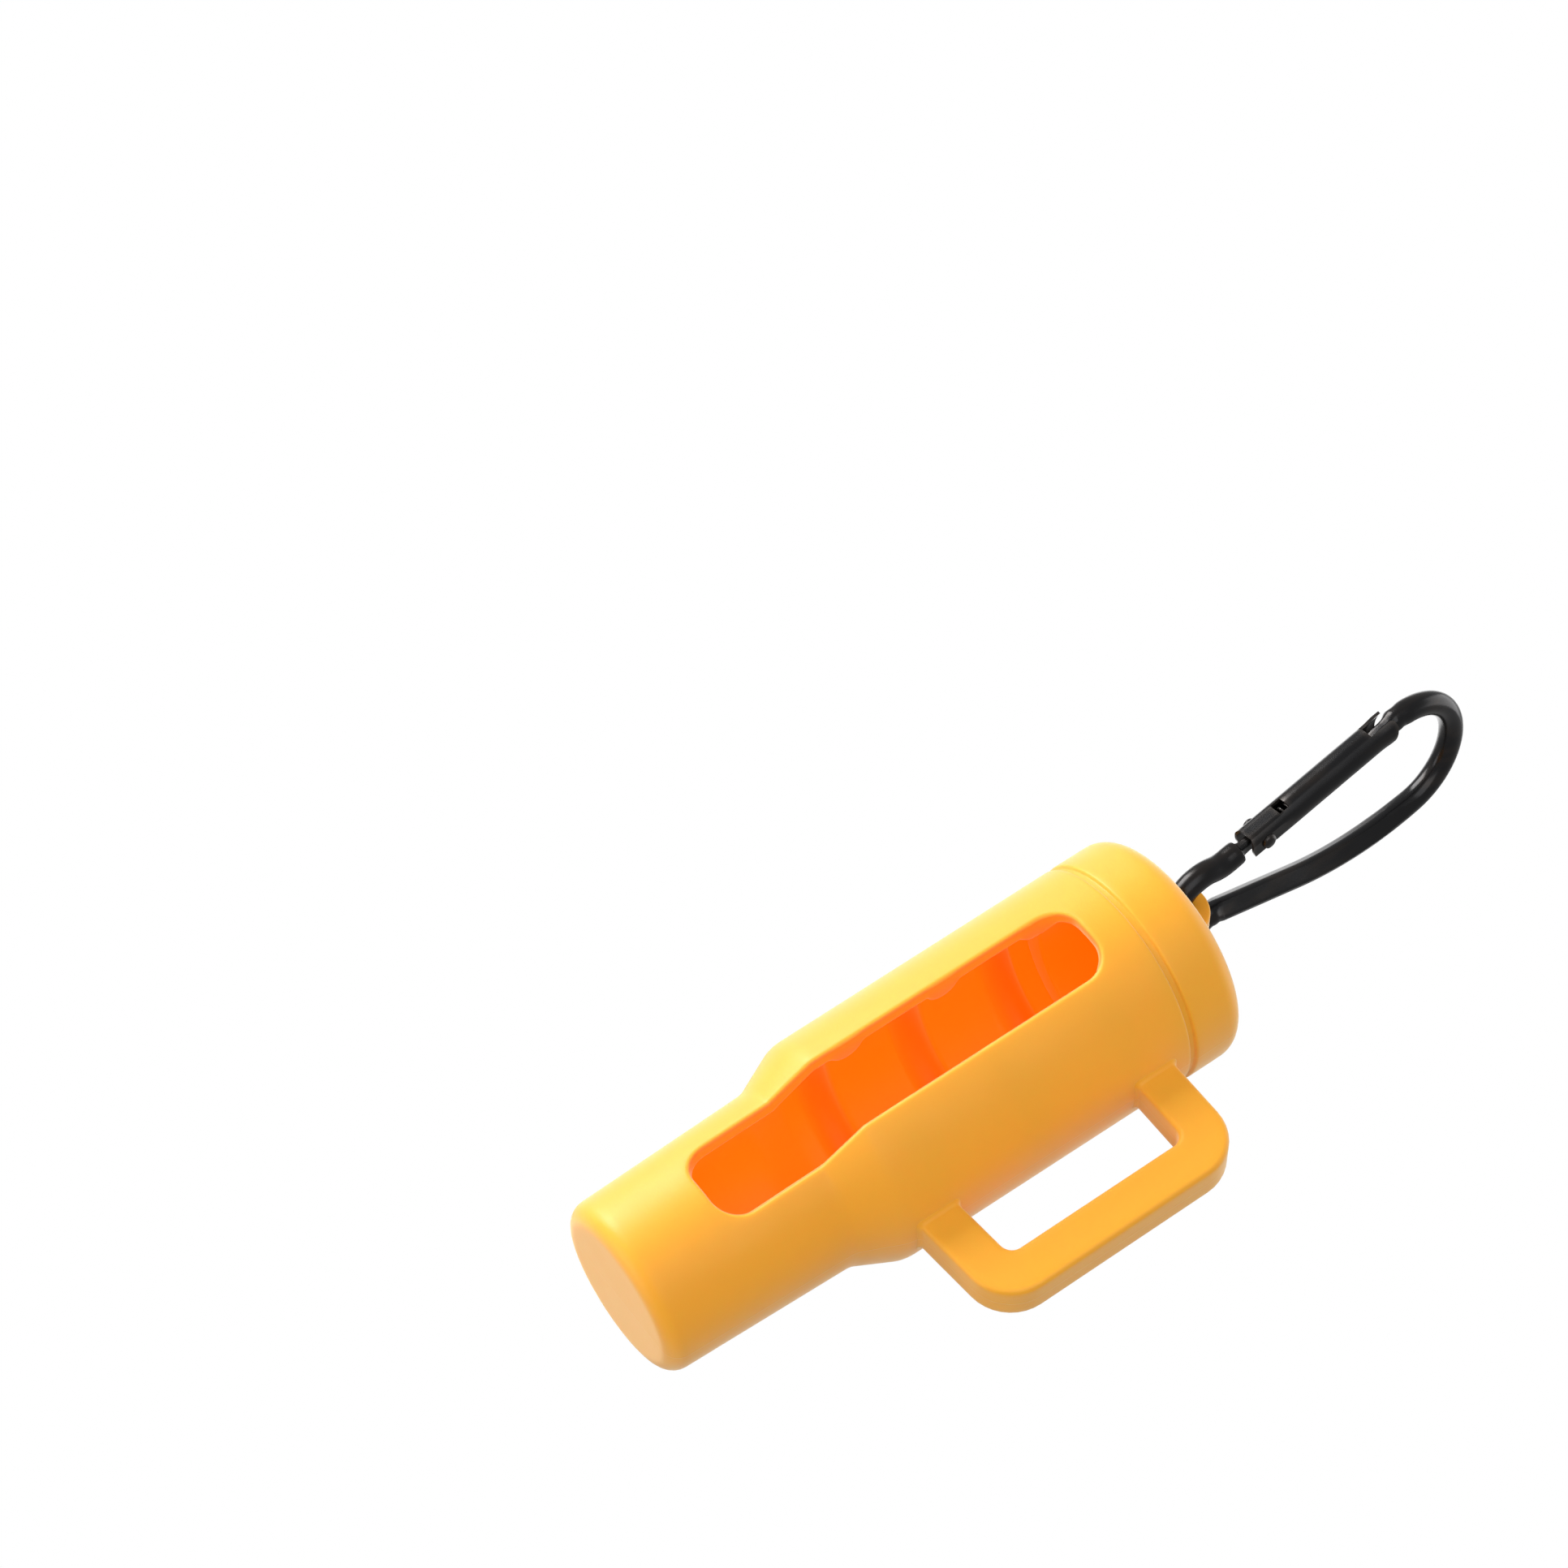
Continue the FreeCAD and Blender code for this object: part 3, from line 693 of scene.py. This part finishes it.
def root_station(gap, inner_z, outer_z, slope):
    """Section that lies at a fixed gap from the barrel and widens towards it."""
    lack = ROOT_FILLET - min(max(gap, 0), ROOT_FILLET)
    grow = ROOT_FILLET - math.sqrt(ROOT_FILLET ** 2 - lack ** 2)

    def place(p, q):
        y = (HALF_T + grow) * q
        z = (inner_z + outer_z) / 2 + p * ((outer_z - inner_z) / 2 + math.copysign(grow, outer_z - inner_z))
        x = math.sqrt((cup_radius(z) + gap) ** 2 - y ** 2)
        return Vector((x, y, z + slope * (x - cup_radius(z))))
    return place


root_gaps = [-0.5, 0.01, 0.06, 0.15, 0.3, 0.5, 0.75]
inner_top = TOP_Z - BAR
low_inner_z, low_outer_z = low_edge(19.8) + BAR, low_edge(19.8)
stations = [root_station(gap, inner_top, TOP_Z, 0) for gap in root_gaps]
stations += [bar_station((x, inner_top), (x, TOP_Z)) for x in (22.5, 25, 27.5, 29.2)]
for turn in [math.radians(90 - 90 * i / 9) for i in range(10)]:
    stations.append(bar_station(
        (OUT_X - BAR - INNER_CORNER * (1 - math.cos(turn)), inner_top - INNER_CORNER * (1 - math.sin(turn))),
        (OUT_X - OUTER_CORNER * (1 - math.cos(turn)), TOP_Z - OUTER_CORNER * (1 - math.sin(turn)))))
lean = math.atan(SLOPE)
low_outer_c = low_edge(OUT_X - OUTER_CORNER) + OUTER_CORNER / math.cos(lean)
low_inner_c = low_edge(OUT_X - BAR - INNER_CORNER) + BAR + INNER_CORNER / math.cos(lean)
for share in (0.25, 0.5, 0.75):
    stations.append(bar_station(
        (OUT_X - BAR, (inner_top - INNER_CORNER) * (1 - share) + low_inner_c * share),
        (OUT_X, (TOP_Z - OUTER_CORNER) * (1 - share) + low_outer_c * share)))
for turn in [-(math.pi / 2 - lean) * i / 9 for i in range(10)]:
    stations.append(bar_station(
        (OUT_X - BAR - INNER_CORNER * (1 - math.cos(turn)), low_inner_c + INNER_CORNER * math.sin(turn)),
        (OUT_X - OUTER_CORNER * (1 - math.cos(turn)), low_outer_c + OUTER_CORNER * math.sin(turn))))
stations += [bar_station((x, low_edge(x) + BAR), (x, low_edge(x))) for x in (27.5, 25, 22.5)]
stations += [root_station(gap, low_inner_z, low_outer_z, SLOPE) for gap in reversed(root_gaps)]

handle = bmesh.new()
extrude_through(handle, *square_ring(handle, 0.24, 4), stations)
finish_piece(handle, "handle_bar", "holder", ["handle"], SOLID_SILICONE, sharp=60)

# %% [markdown]
# ## The lid
# The lid is a plain turned shape: a hollow plug that goes into the cup, a thin neck that leaves
# a shadow line above the rim, and a disc with a generously rounded top.

# %% Lid
LID_R, LID_TOP, LID_EDGE = 20.0, 108.5, 3.7
PLUG_R, PLUG_LOW, STEM_R, STEM_TOP, HOLLOW_R, HOLLOW_TOP = 17.84, 92.4, 19.42, 98.0, 13.5, 104.5
SEAT_GAP, UNDERCUT = 0.05, 0.15    # room above the rim, rise of the disc's underside
lid = bmesh.new()
lid_corners = outline(lid, [(0, HOLLOW_TOP), (HOLLOW_R, HOLLOW_TOP), (HOLLOW_R, PLUG_LOW),
                            (PLUG_R, PLUG_LOW), (PLUG_R, RIM_Z + SEAT_GAP),
                            (STEM_R, RIM_Z + SEAT_GAP), (STEM_R, STEM_TOP),
                            (LID_R, STEM_TOP + UNDERCUT), (LID_R, LID_TOP), (0, LID_TOP)])
rounded(lid, [lid_corners[8]], LID_EDGE, 9)
rounded(lid, [lid_corners[7]], 0.4, 4)
rounded(lid, [lid_corners[6]], 0.2, 3)
rounded(lid, [lid_corners[i] for i in (1, 2, 3)], 0.6, 3)
cut_rows(lid, (99.5, 101.5, 103.5), (5, 9, 12.5, 15.5))
spin_round(lid, COLUMNS)
# The plug below the rim and the hollow get the painted bounce light of the cup's inside: painted deep orange
# and painted glow.
plug = lid.verts.layers.float.new("inside")
for vert in lid.verts:
    in_hollow = math.hypot(vert.co.x, vert.co.y) < HOLLOW_R + 0.1 and vert.co.z < LID_TOP - 1
    if vert.co.z < RIM_Z - 0.2 or in_hollow:
        vert[plug] = 1.0
finish_piece(lid, "lid_plug", "lid", ["lid"], SHELL_SILICONE, sharp=50)

# %% [markdown]
# ## The loop on the lid
# The loop starts as a flat ring bridged between two circles. The lower half of the outer circle is
# pulled down and out into a foot before the ring gets its thickness.

# %% Loop
LOOP_X, LOOP_Z, LOOP_R, HOLE_R, LOOP_HALF_T = -3.0, 112.2, 5.6, 2.9, 2.0
FOOT_X, FOOT_HALF = 2.2, 6.0       # how far the foot's middle lies from the hole's, half its width
SUNK, FLANK = 0.7, 62.0            # depth of the foot in the lid, turn in degrees where it begins
LOOP_STEPS = 56
loop = bmesh.new()
outer = bmesh.ops.create_circle(loop, segments=LOOP_STEPS, radius=LOOP_R)["verts"]
bmesh.ops.create_circle(loop, segments=LOOP_STEPS, radius=HOLE_R)
drop = LOOP_Z - LID_TOP + SUNK
for vert in outer:
    turn = math.atan2(vert.co.y, vert.co.x)
    side = math.copysign(1, vert.co.x)
    if vert.co.y < -0.01:
        steep = min(abs(-turn if side > 0 else math.pi + turn) / math.radians(FLANK), 1)
        flare = FOOT_HALF - LOOP_R + 1.6
        wide = LOOP_R - 0.25 * math.sin(math.pi * steep) + flare * steep ** 3.5
        foot = FOOT_X * steep
        if steep < 1:
            vert.co.x, vert.co.y = side * wide + foot, -drop * steep
        else:
            left = (math.pi / 2 - abs(-turn if side > 0 else math.pi + turn)) / math.radians(90 - FLANK)
            vert.co.x, vert.co.y = side * wide * max(left, 0) + foot, -drop
bmesh.ops.bridge_loops(loop, edges=loop.edges[:])
bmesh.ops.rotate(loop, cent=(0, 0, 0), matrix=Matrix.Rotation(math.pi / 2, 3, "X"), verts=loop.verts)
bmesh.ops.translate(loop, vec=(LOOP_X, -LOOP_HALF_T, LOOP_Z), verts=loop.verts)
thick = bmesh.ops.extrude_face_region(loop, geom=loop.faces[:])["geom"]
bmesh.ops.translate(loop, vec=(0, 2 * LOOP_HALF_T, 0),
                    verts=[g for g in thick if isinstance(g, bmesh.types.BMVert)])
bmesh.ops.recalc_face_normals(loop, faces=loop.faces)
rims = [e for e in sharp_edges(loop, 1.2) if e.verts[0].co.z > LID_TOP - SUNK + 0.05]
rounded(loop, rims, 1.1, 4, "EDGES", clamp=True)
for vert in loop.verts:
    near = min(max((LID_TOP + 1.6 - vert.co.z) / 2.0, 0), 1)
    vert.co.y *= 1 + 0.35 * near ** 2
finish_piece(loop, "lid_loop", "lid", ["hanging_loop"], SOLID_SILICONE, sharp=60)

# %% [markdown]
# ## The hook's own frame
# The hook hangs askew, so it is easier to draw upright and then carry into place. The hinge pin
# and the direction of the gate are known from the joints, and together they give the carrying
# matrix.

# %% Hook placement
GATE_X, RIVET_Z = 3.65, 14.3
pin_axis = -Vector(joints["gate_open"]["axis"]).normalized()
gate_axis = Vector(joints["plunger_slide"]["axis"]).normalized()
out_axis = pin_axis.cross(gate_axis).normalized()
pin = Vector(joints["gate_open"]["pos_m"]) / MM
hook_start = pin - out_axis * GATE_X - gate_axis * RIVET_Z
HOOK = (Matrix.Translation(hook_start)
        @ Matrix((out_axis, pin_axis, gate_axis)).transposed().to_4x4())
print("hook frame starts at", [round(c, 2) for c in hook_start])

# %% [markdown]
# ## The bent wire
# One wire makes the whole frame of the hook. Its centreline is a chain of arcs and lines, from
# the nose over the wide bend, down the back, round the small end that hangs in the loop, and up
# to the hinge.

# %% Centreline of the wire
WIRE_R, EYE_R, BEND_R, BEND_Z = 2.1, 5.15, 11.3, 44.9
SPINE_R, NECK_R, KINK_R, KINK_Z = 62.0, 7.0, 7.0, 0.6
LEG_END, NOSE_LOW, TONGUE_TOP = 9.5, 39.5, 16.0
FLAT_TURN = math.radians(32)       # the back was pressed a little askew to the hook's plane


def along_arc(centre, radius, start, end, steps):
    """Points and directions of travel on an arc; angles in degrees from X towards Z."""
    way = 1 if end > start else -1
    made = []
    for i in range(1, steps + 1):
        a = math.radians(start + (end - start) * i / steps)
        made.append((centre[0] + radius * math.cos(a), centre[1] + radius * math.sin(a),
                     -way * math.sin(a), way * math.cos(a)))
    return made


def along_line(first, last, steps):
    dx, dz = last[0] - first[0], last[1] - first[1]
    length = math.hypot(dx, dz)
    return [(first[0] + dx * i / steps, first[1] + dz * i / steps, dx / length, dz / length)
            for i in range(1, steps + 1)]


spine_x = GATE_X - 2 * BEND_R + SPINE_R
neck_x = -EYE_R - NECK_R
lean_deg = (math.degrees(math.atan2(BEND_Z, spine_x - neck_x))
            - math.degrees(math.acos((SPINE_R + NECK_R) / math.hypot(spine_x - neck_x, BEND_Z))))
kink_deg = math.degrees(math.acos(1 - (EYE_R - GATE_X) / (2 * KINK_R)))
kink_top = KINK_Z + 2 * KINK_R * math.sin(math.radians(kink_deg))
sine, cosine = math.sin(math.radians(lean_deg)), math.cos(math.radians(lean_deg))
spine_end = (spine_x - SPINE_R * cosine, BEND_Z - SPINE_R * sine)
neck_start = (neck_x + NECK_R * cosine, NECK_R * sine)

# height, half width in the hook's plane, half thickness across it, how far the flats are pressed
NOSE_SHAPE = [(NOSE_LOW, 0.6, 0.8, 1), (NOSE_LOW + 0.15, 0.9, 1.0, 1), (40.3, 1.1, 1.05, 1),
              (41.2, 1.25, 1.0, 1), (42.2, 1.35, 1.0, 1), (43.0, 1.42, 1.1, 1), (43.6, 1.6, 1.4, 0.6),
              (44.1, 1.85, 1.75, 0.3), (44.5, 1.98, 1.9, 0.1), (BEND_Z, 2.02, 1.95, 0)]
TONGUE_SHAPE = [(7.2, 2.1, 2.1, 0), (8.2, 2.1, 2.1, 0), (9.0, 2.06, 2.08, 0), (9.35, 1.95, 1.98, 0),
                (LEG_END, 1.75, 1.8, 0), (9.7, 1.3, 1.15, 1), (10.2, 1.25, 0.9, 1), (11, 1.25, 0.85, 1),
                (13, 1.25, 0.85, 1), (15, 1.2, 0.85, 1), (15.7, 0.95, 0.85, 1), (TONGUE_TOP, 0.6, 0.7, 1)]
wire_line = [(GATE_X, shape[0], 0, 1) for shape in NOSE_SHAPE]
bend_first = len(wire_line)
wire_line += along_arc((GATE_X - BEND_R, BEND_Z), BEND_R, 0, 180, 48)
spine_first = len(wire_line)
wire_line += along_arc((spine_x, BEND_Z), SPINE_R, 180, 180 + lean_deg, 26)
wire_line += along_line(spine_end, neck_start, 8)
neck_first = len(wire_line)
wire_line += along_arc((neck_x, 0), NECK_R, lean_deg, 0, 10)
eye_first = len(wire_line)
wire_line += along_arc((0, 0), EYE_R, 180, 360, 28)
wire_line += along_line((EYE_R, 0), (EYE_R, KINK_Z), 2)
wire_line += along_arc((EYE_R - KINK_R, KINK_Z), KINK_R, 0, kink_deg, 6)
wire_line += along_arc((GATE_X + KINK_R, kink_top), KINK_R, 180 + kink_deg, 180, 6)
leg_first = len(wire_line)
wire_line += [(GATE_X, shape[0], 0, 1) for shape in TONGUE_SHAPE]
travelled = [0.0]
for here, there in zip(wire_line, wire_line[1:]):
    travelled.append(travelled[-1] + math.hypot(there[0] - here[0], there[1] - here[1]))
print("wire stations", len(wire_line), "length", round(travelled[-1], 1), "mm")


# %% [markdown]
# ## Shape of the wire
# The wire is round in the wide bend and in the short leg, its back is pressed to a rounded
# square, and both ends are squeezed into tongues: one inside the hinge and one that the gate
# closes on. A ring of edges is extruded along the centreline, and every station says how wide,
# how thick and how pressed the wire is there.

# %% Shape of the wire at each station
def ease(value, low, high):
    """0 below low, 1 above high, smooth between."""
    share = min(max((value - low) / (high - low), 0), 1)
    return share * share * (3 - 2 * share)


def wire_size(number):
    """Half width, half thickness, pressing from 0 to 1 and the turn of the pressed flats."""
    if number < bend_first:
        return *NOSE_SHAPE[number][1:], 0.0
    if number >= leg_first:
        return *TONGUE_SHAPE[number - leg_first][1:], 0.0
    s = travelled[number]
    dent = 0.12 * math.exp(-((s - travelled[bend_first] - 0.2) / 0.7) ** 2)
    pressed = ease(s, travelled[spine_first] - 4, travelled[spine_first] + 8)
    pressed *= 1 - 0.8 * ease(s, travelled[neck_first] - 0.5, travelled[neck_first] + 1.5)
    pressed *= 1 - ease(s, travelled[eye_first], travelled[eye_first] + 3)
    crumple = ease(s, travelled[neck_first] - 1, travelled[neck_first] + 1)
    crumple *= 1 - ease(s, travelled[eye_first] - 1, travelled[eye_first] + 1)
    wrinkle = crumple * (0.05 * math.sin(s * 2.9) - 0.04)
    grown = ease(s, travelled[bend_first] - 1, travelled[bend_first] + 1.5)
    half = WIRE_R * (0.96 + 0.04 * grown + 0.04 * pressed) + wrinkle
    return half, half * (1 - dent), pressed, FLAT_TURN


def wire_station(number):
    x, z, dx, dz = wire_line[number]
    centre, across = Vector((x, 0, z)), Vector((dz, 0, -dx))
    wide, thick, pressed, turn = wire_size(number)
    sine_t, cosine_t = math.sin(turn), math.cos(turn)

    def place(p, q):
        side, face = p * cosine_t + q * sine_t, q * cosine_t - p * sine_t
        side_limit, face_limit = 1 - 0.1 * pressed, 1 - 0.21 * pressed
        side = min(max(side, -side_limit), side_limit)
        face = min(max(face, -face_limit), face_limit)
        if turn == 0:
            face /= face_limit
        p, q = side * cosine_t - face * sine_t, side * sine_t + face * cosine_t
        return centre + across * (wide * p) + Vector((0, thick * q, 0))
    return place


wire = bmesh.new()
bmesh.ops.create_circle(wire, segments=36, radius=1)
extrude_through(wire, *remember_places(wire), [wire_station(i) for i in range(len(wire_line))])
finish_piece(wire, "hook_wire", "hook", ["hook_frame"], HOOK_BLACK, place=HOOK,
             sharp=24)

# %% [markdown]
# ## The gate
# The gate is rolled from sheet into a tube. At the hinge it has a flat front and two flat
# cheeks that hold the rivet; a rectangular notch follows, and the far end is open in front, with
# one pointed and one blunt ear beside the wire's nose. It starts as a ring extruded along the
# tube. The openings are faces taken away between chosen columns and rows, and then the sheet
# gets its thickness.

# %% Gate sheet
GATE_R, SHEET, GATE_TOP = 2.65, 0.5, 43.7
GATE_COLUMNS = 40
NOTCH_LOW, NOTCH_HIGH, WINDOW_EDGE, EAR_START = 18.3, 20.3, 38.9, 39.8
HINGE_LOW, HINGE_OPEN, HINGE_ROUND = 11.0, 16.2, 21.3
FRONT_FLAT, CHEEK_FLAT = 2.31, 2.32        # distances of the flats from the tube's axis
gate_rows = [HINGE_LOW, 11.7, 12.5, 13.4, 14.3, 15.2, HINGE_OPEN, 17.2, NOTCH_LOW, 19.3, NOTCH_HIGH,
             HINGE_ROUND, 24, 28, 32, 36, 38, WINDOW_EDGE, EAR_START, 40.6, 41.4, 42.2, 43.0, GATE_TOP]
EARS = [(27, 43.2), (36, 43.8), (63, 43.8), (81, 43.4), (117, 42.6), (180, 41.8), (234, 42.0),
        (252, 42.4), (270, 42.9), (288, 43.5), (297, 43.9), (306, 42.4)]      # turn in degrees and height


def ear_height(turn):
    """Height of the gate's end at a turn round the tube, in degrees from X."""
    for (turn0, high0), (turn1, high1) in zip(EARS, EARS[1:]):
        if turn0 <= turn <= turn1:
            return high0 + (high1 - high0) * (turn - turn0) / (turn1 - turn0)
    return EARS[0][1]


def gate_station(height):
    """Section of the gate: flat in front and at the cheeks by the hinge, round along the tube."""
    square = 1 - ease(height, NOTCH_LOW, HINGE_ROUND)
    flare = 0.15 * ease(height, EAR_START, GATE_TOP)

    def place(p, q):
        front = FRONT_FLAT / p if p > 0.01 else GATE_R
        cheek = CHEEK_FLAT / abs(q) if abs(q) > 0.01 else GATE_R
        radius = min(GATE_R, front, cheek) * square + GATE_R * (1 - square) + flare
        x, y, z = radius * p, radius * q, height
        if height < HINGE_OPEN:
            z += (HINGE_OPEN - height) / (HINGE_OPEN - HINGE_LOW) * 0.9 * (x / GATE_R) ** 2
        if height > EAR_START:
            top = ear_height(math.degrees(math.atan2(q, p)) % 360)
            z = EAR_START + (top - EAR_START) * (height - EAR_START) / (GATE_TOP - EAR_START)
        return Vector((GATE_X + x, y, z))
    return place


gate = bmesh.new()
bmesh.ops.create_circle(gate, segments=GATE_COLUMNS, radius=1)
ring_edges, flat_layer = remember_places(gate)
extrude_through(gate, ring_edges, flat_layer, [gate_station(z) for z in gate_rows], capped=False)


def sheet_window(bm, flat, turn_low, turn_high, low, high):
    """Faces between two turns round the tube and two heights; turns in degrees from X."""
    found = []
    for face in bm.faces:
        p = sum(v[flat].x for v in face.verts)
        q = sum(v[flat].y for v in face.verts)
        z = face.calc_center_median().z
        if turn_low < math.degrees(math.atan2(q, p)) % 360 < turn_high and low < z < high:
            found.append(face)
    return found


gone = sheet_window(gate, flat_layer, 118, 242, 0, HINGE_OPEN)
for turns in ((0, 27), (333, 360)):
    gone += sheet_window(gate, flat_layer, *turns, NOTCH_LOW, NOTCH_HIGH)
for turns in ((0, 27), (306, 360)):
    gone += sheet_window(gate, flat_layer, *turns, WINDOW_EDGE, GATE_TOP + 1)
bmesh.ops.delete(gate, geom=list(set(gone)), context="FACES")
bmesh.ops.recalc_face_normals(gate, faces=gate.faces)
bmesh.ops.solidify(gate, geom=gate.faces[:], thickness=SHEET)
finish_piece(gate, "gate_tube", "gate", ["hook_gate"], HOOK_BLACK, place=HOOK,
             sharp=24, outwards=False)

# %% [markdown]
# ## Rivet
# A rivet with two domed heads holds the gate. It is turned upright and then laid across.

# %% Rivet
RIVET_R, HEAD_R, HEAD_H, HEAD_Y = 0.65, 1.4, 0.7, 2.35
rivet = bmesh.new()
ends = outline(rivet, [(0, HEAD_Y + HEAD_H), (0.75, HEAD_Y + HEAD_H - 0.06), (1.2, HEAD_Y + 0.42),
                       (HEAD_R, HEAD_Y), (RIVET_R, HEAD_Y), (RIVET_R, -HEAD_Y), (HEAD_R, -HEAD_Y),
                       (1.2, -HEAD_Y - 0.42), (0.75, -HEAD_Y - HEAD_H + 0.06),
                       (0, -HEAD_Y - HEAD_H)])
rounded(rivet, [ends[3], ends[6]], 0.12, 2)
spin_round(rivet, 32)
bmesh.ops.rotate(rivet, cent=(0, 0, 0), matrix=Matrix.Rotation(math.pi / 2, 3, "X"),
                 verts=rivet.verts)
bmesh.ops.translate(rivet, vec=(GATE_X, 0, RIVET_Z), verts=rivet.verts)
finish_piece(rivet, "hinge_rivet", "gate", ["gate_rivet"], HOOK_BLACK, place=HOOK,
             sharp=40)

# %% [markdown]
# ## Plunger and spring
# Inside the tube a coil spring presses a small plunger onto the wire's flattened end. The coil is
# one small circle spun round the gate's axis while it climbs, which is what the spin operator's
# step vector is for. As the gate opens, the plunger is pushed in; the real coil gets shorter, but
# this coil rides on the gate at its full length.

# %% Plunger and spring
PLUNGER_LOW, PLUNGER_R, PLUNGER_H = 16.3, 1.85, 1.6
COIL_R, COIL_WIRE, COIL_LEN, TURNS, STEPS = 1.35, 0.25, 9.0, 7, 24
plunger = bmesh.new()
rim = outline(plunger, [(0, PLUNGER_LOW), (PLUNGER_R, PLUNGER_LOW),
                        (PLUNGER_R, PLUNGER_LOW + PLUNGER_H), (1.0, PLUNGER_LOW + PLUNGER_H),
                        (0.9, PLUNGER_LOW + PLUNGER_H - 0.3), (0, PLUNGER_LOW + PLUNGER_H - 0.3)])
rounded(plunger, rim[1:3], 0.25, 3)
spin_round(plunger, 40)
bmesh.ops.translate(plunger, vec=(GATE_X, 0, 0), verts=plunger.verts)
finish_piece(plunger, "plunger_cap", "plunger", ["gate_plunger"], SPRING_STEEL,
             place=HOOK)

coil = bmesh.new()
bmesh.ops.create_circle(coil, segments=10, radius=COIL_WIRE)
bmesh.ops.rotate(coil, cent=(0, 0, 0), matrix=Matrix.Rotation(math.pi / 2, 3, "X"), verts=coil.verts)
bmesh.ops.translate(coil, vec=(COIL_R, 0, PLUNGER_LOW + PLUNGER_H + COIL_WIRE), verts=coil.verts)
bmesh.ops.contextual_create(coil, geom=coil.edges[:])
climb = (COIL_LEN - 2 * COIL_WIRE) / (TURNS * STEPS)
bmesh.ops.spin(coil, geom=coil.faces[:], cent=(0, 0, 0), axis=(0, 0, 1), dvec=(0, 0, climb),
               angle=2 * math.pi * TURNS, steps=TURNS * STEPS, use_merge=False,
               use_duplicate=False, use_normal_flip=False)
bmesh.ops.translate(coil, vec=(GATE_X, 0, 0), verts=coil.verts)
coil_piece = finish_piece(coil, "gate_coil", "gate", ["gate_spring"], SPRING_STEEL,
                          place=HOOK)
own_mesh(coil_piece)
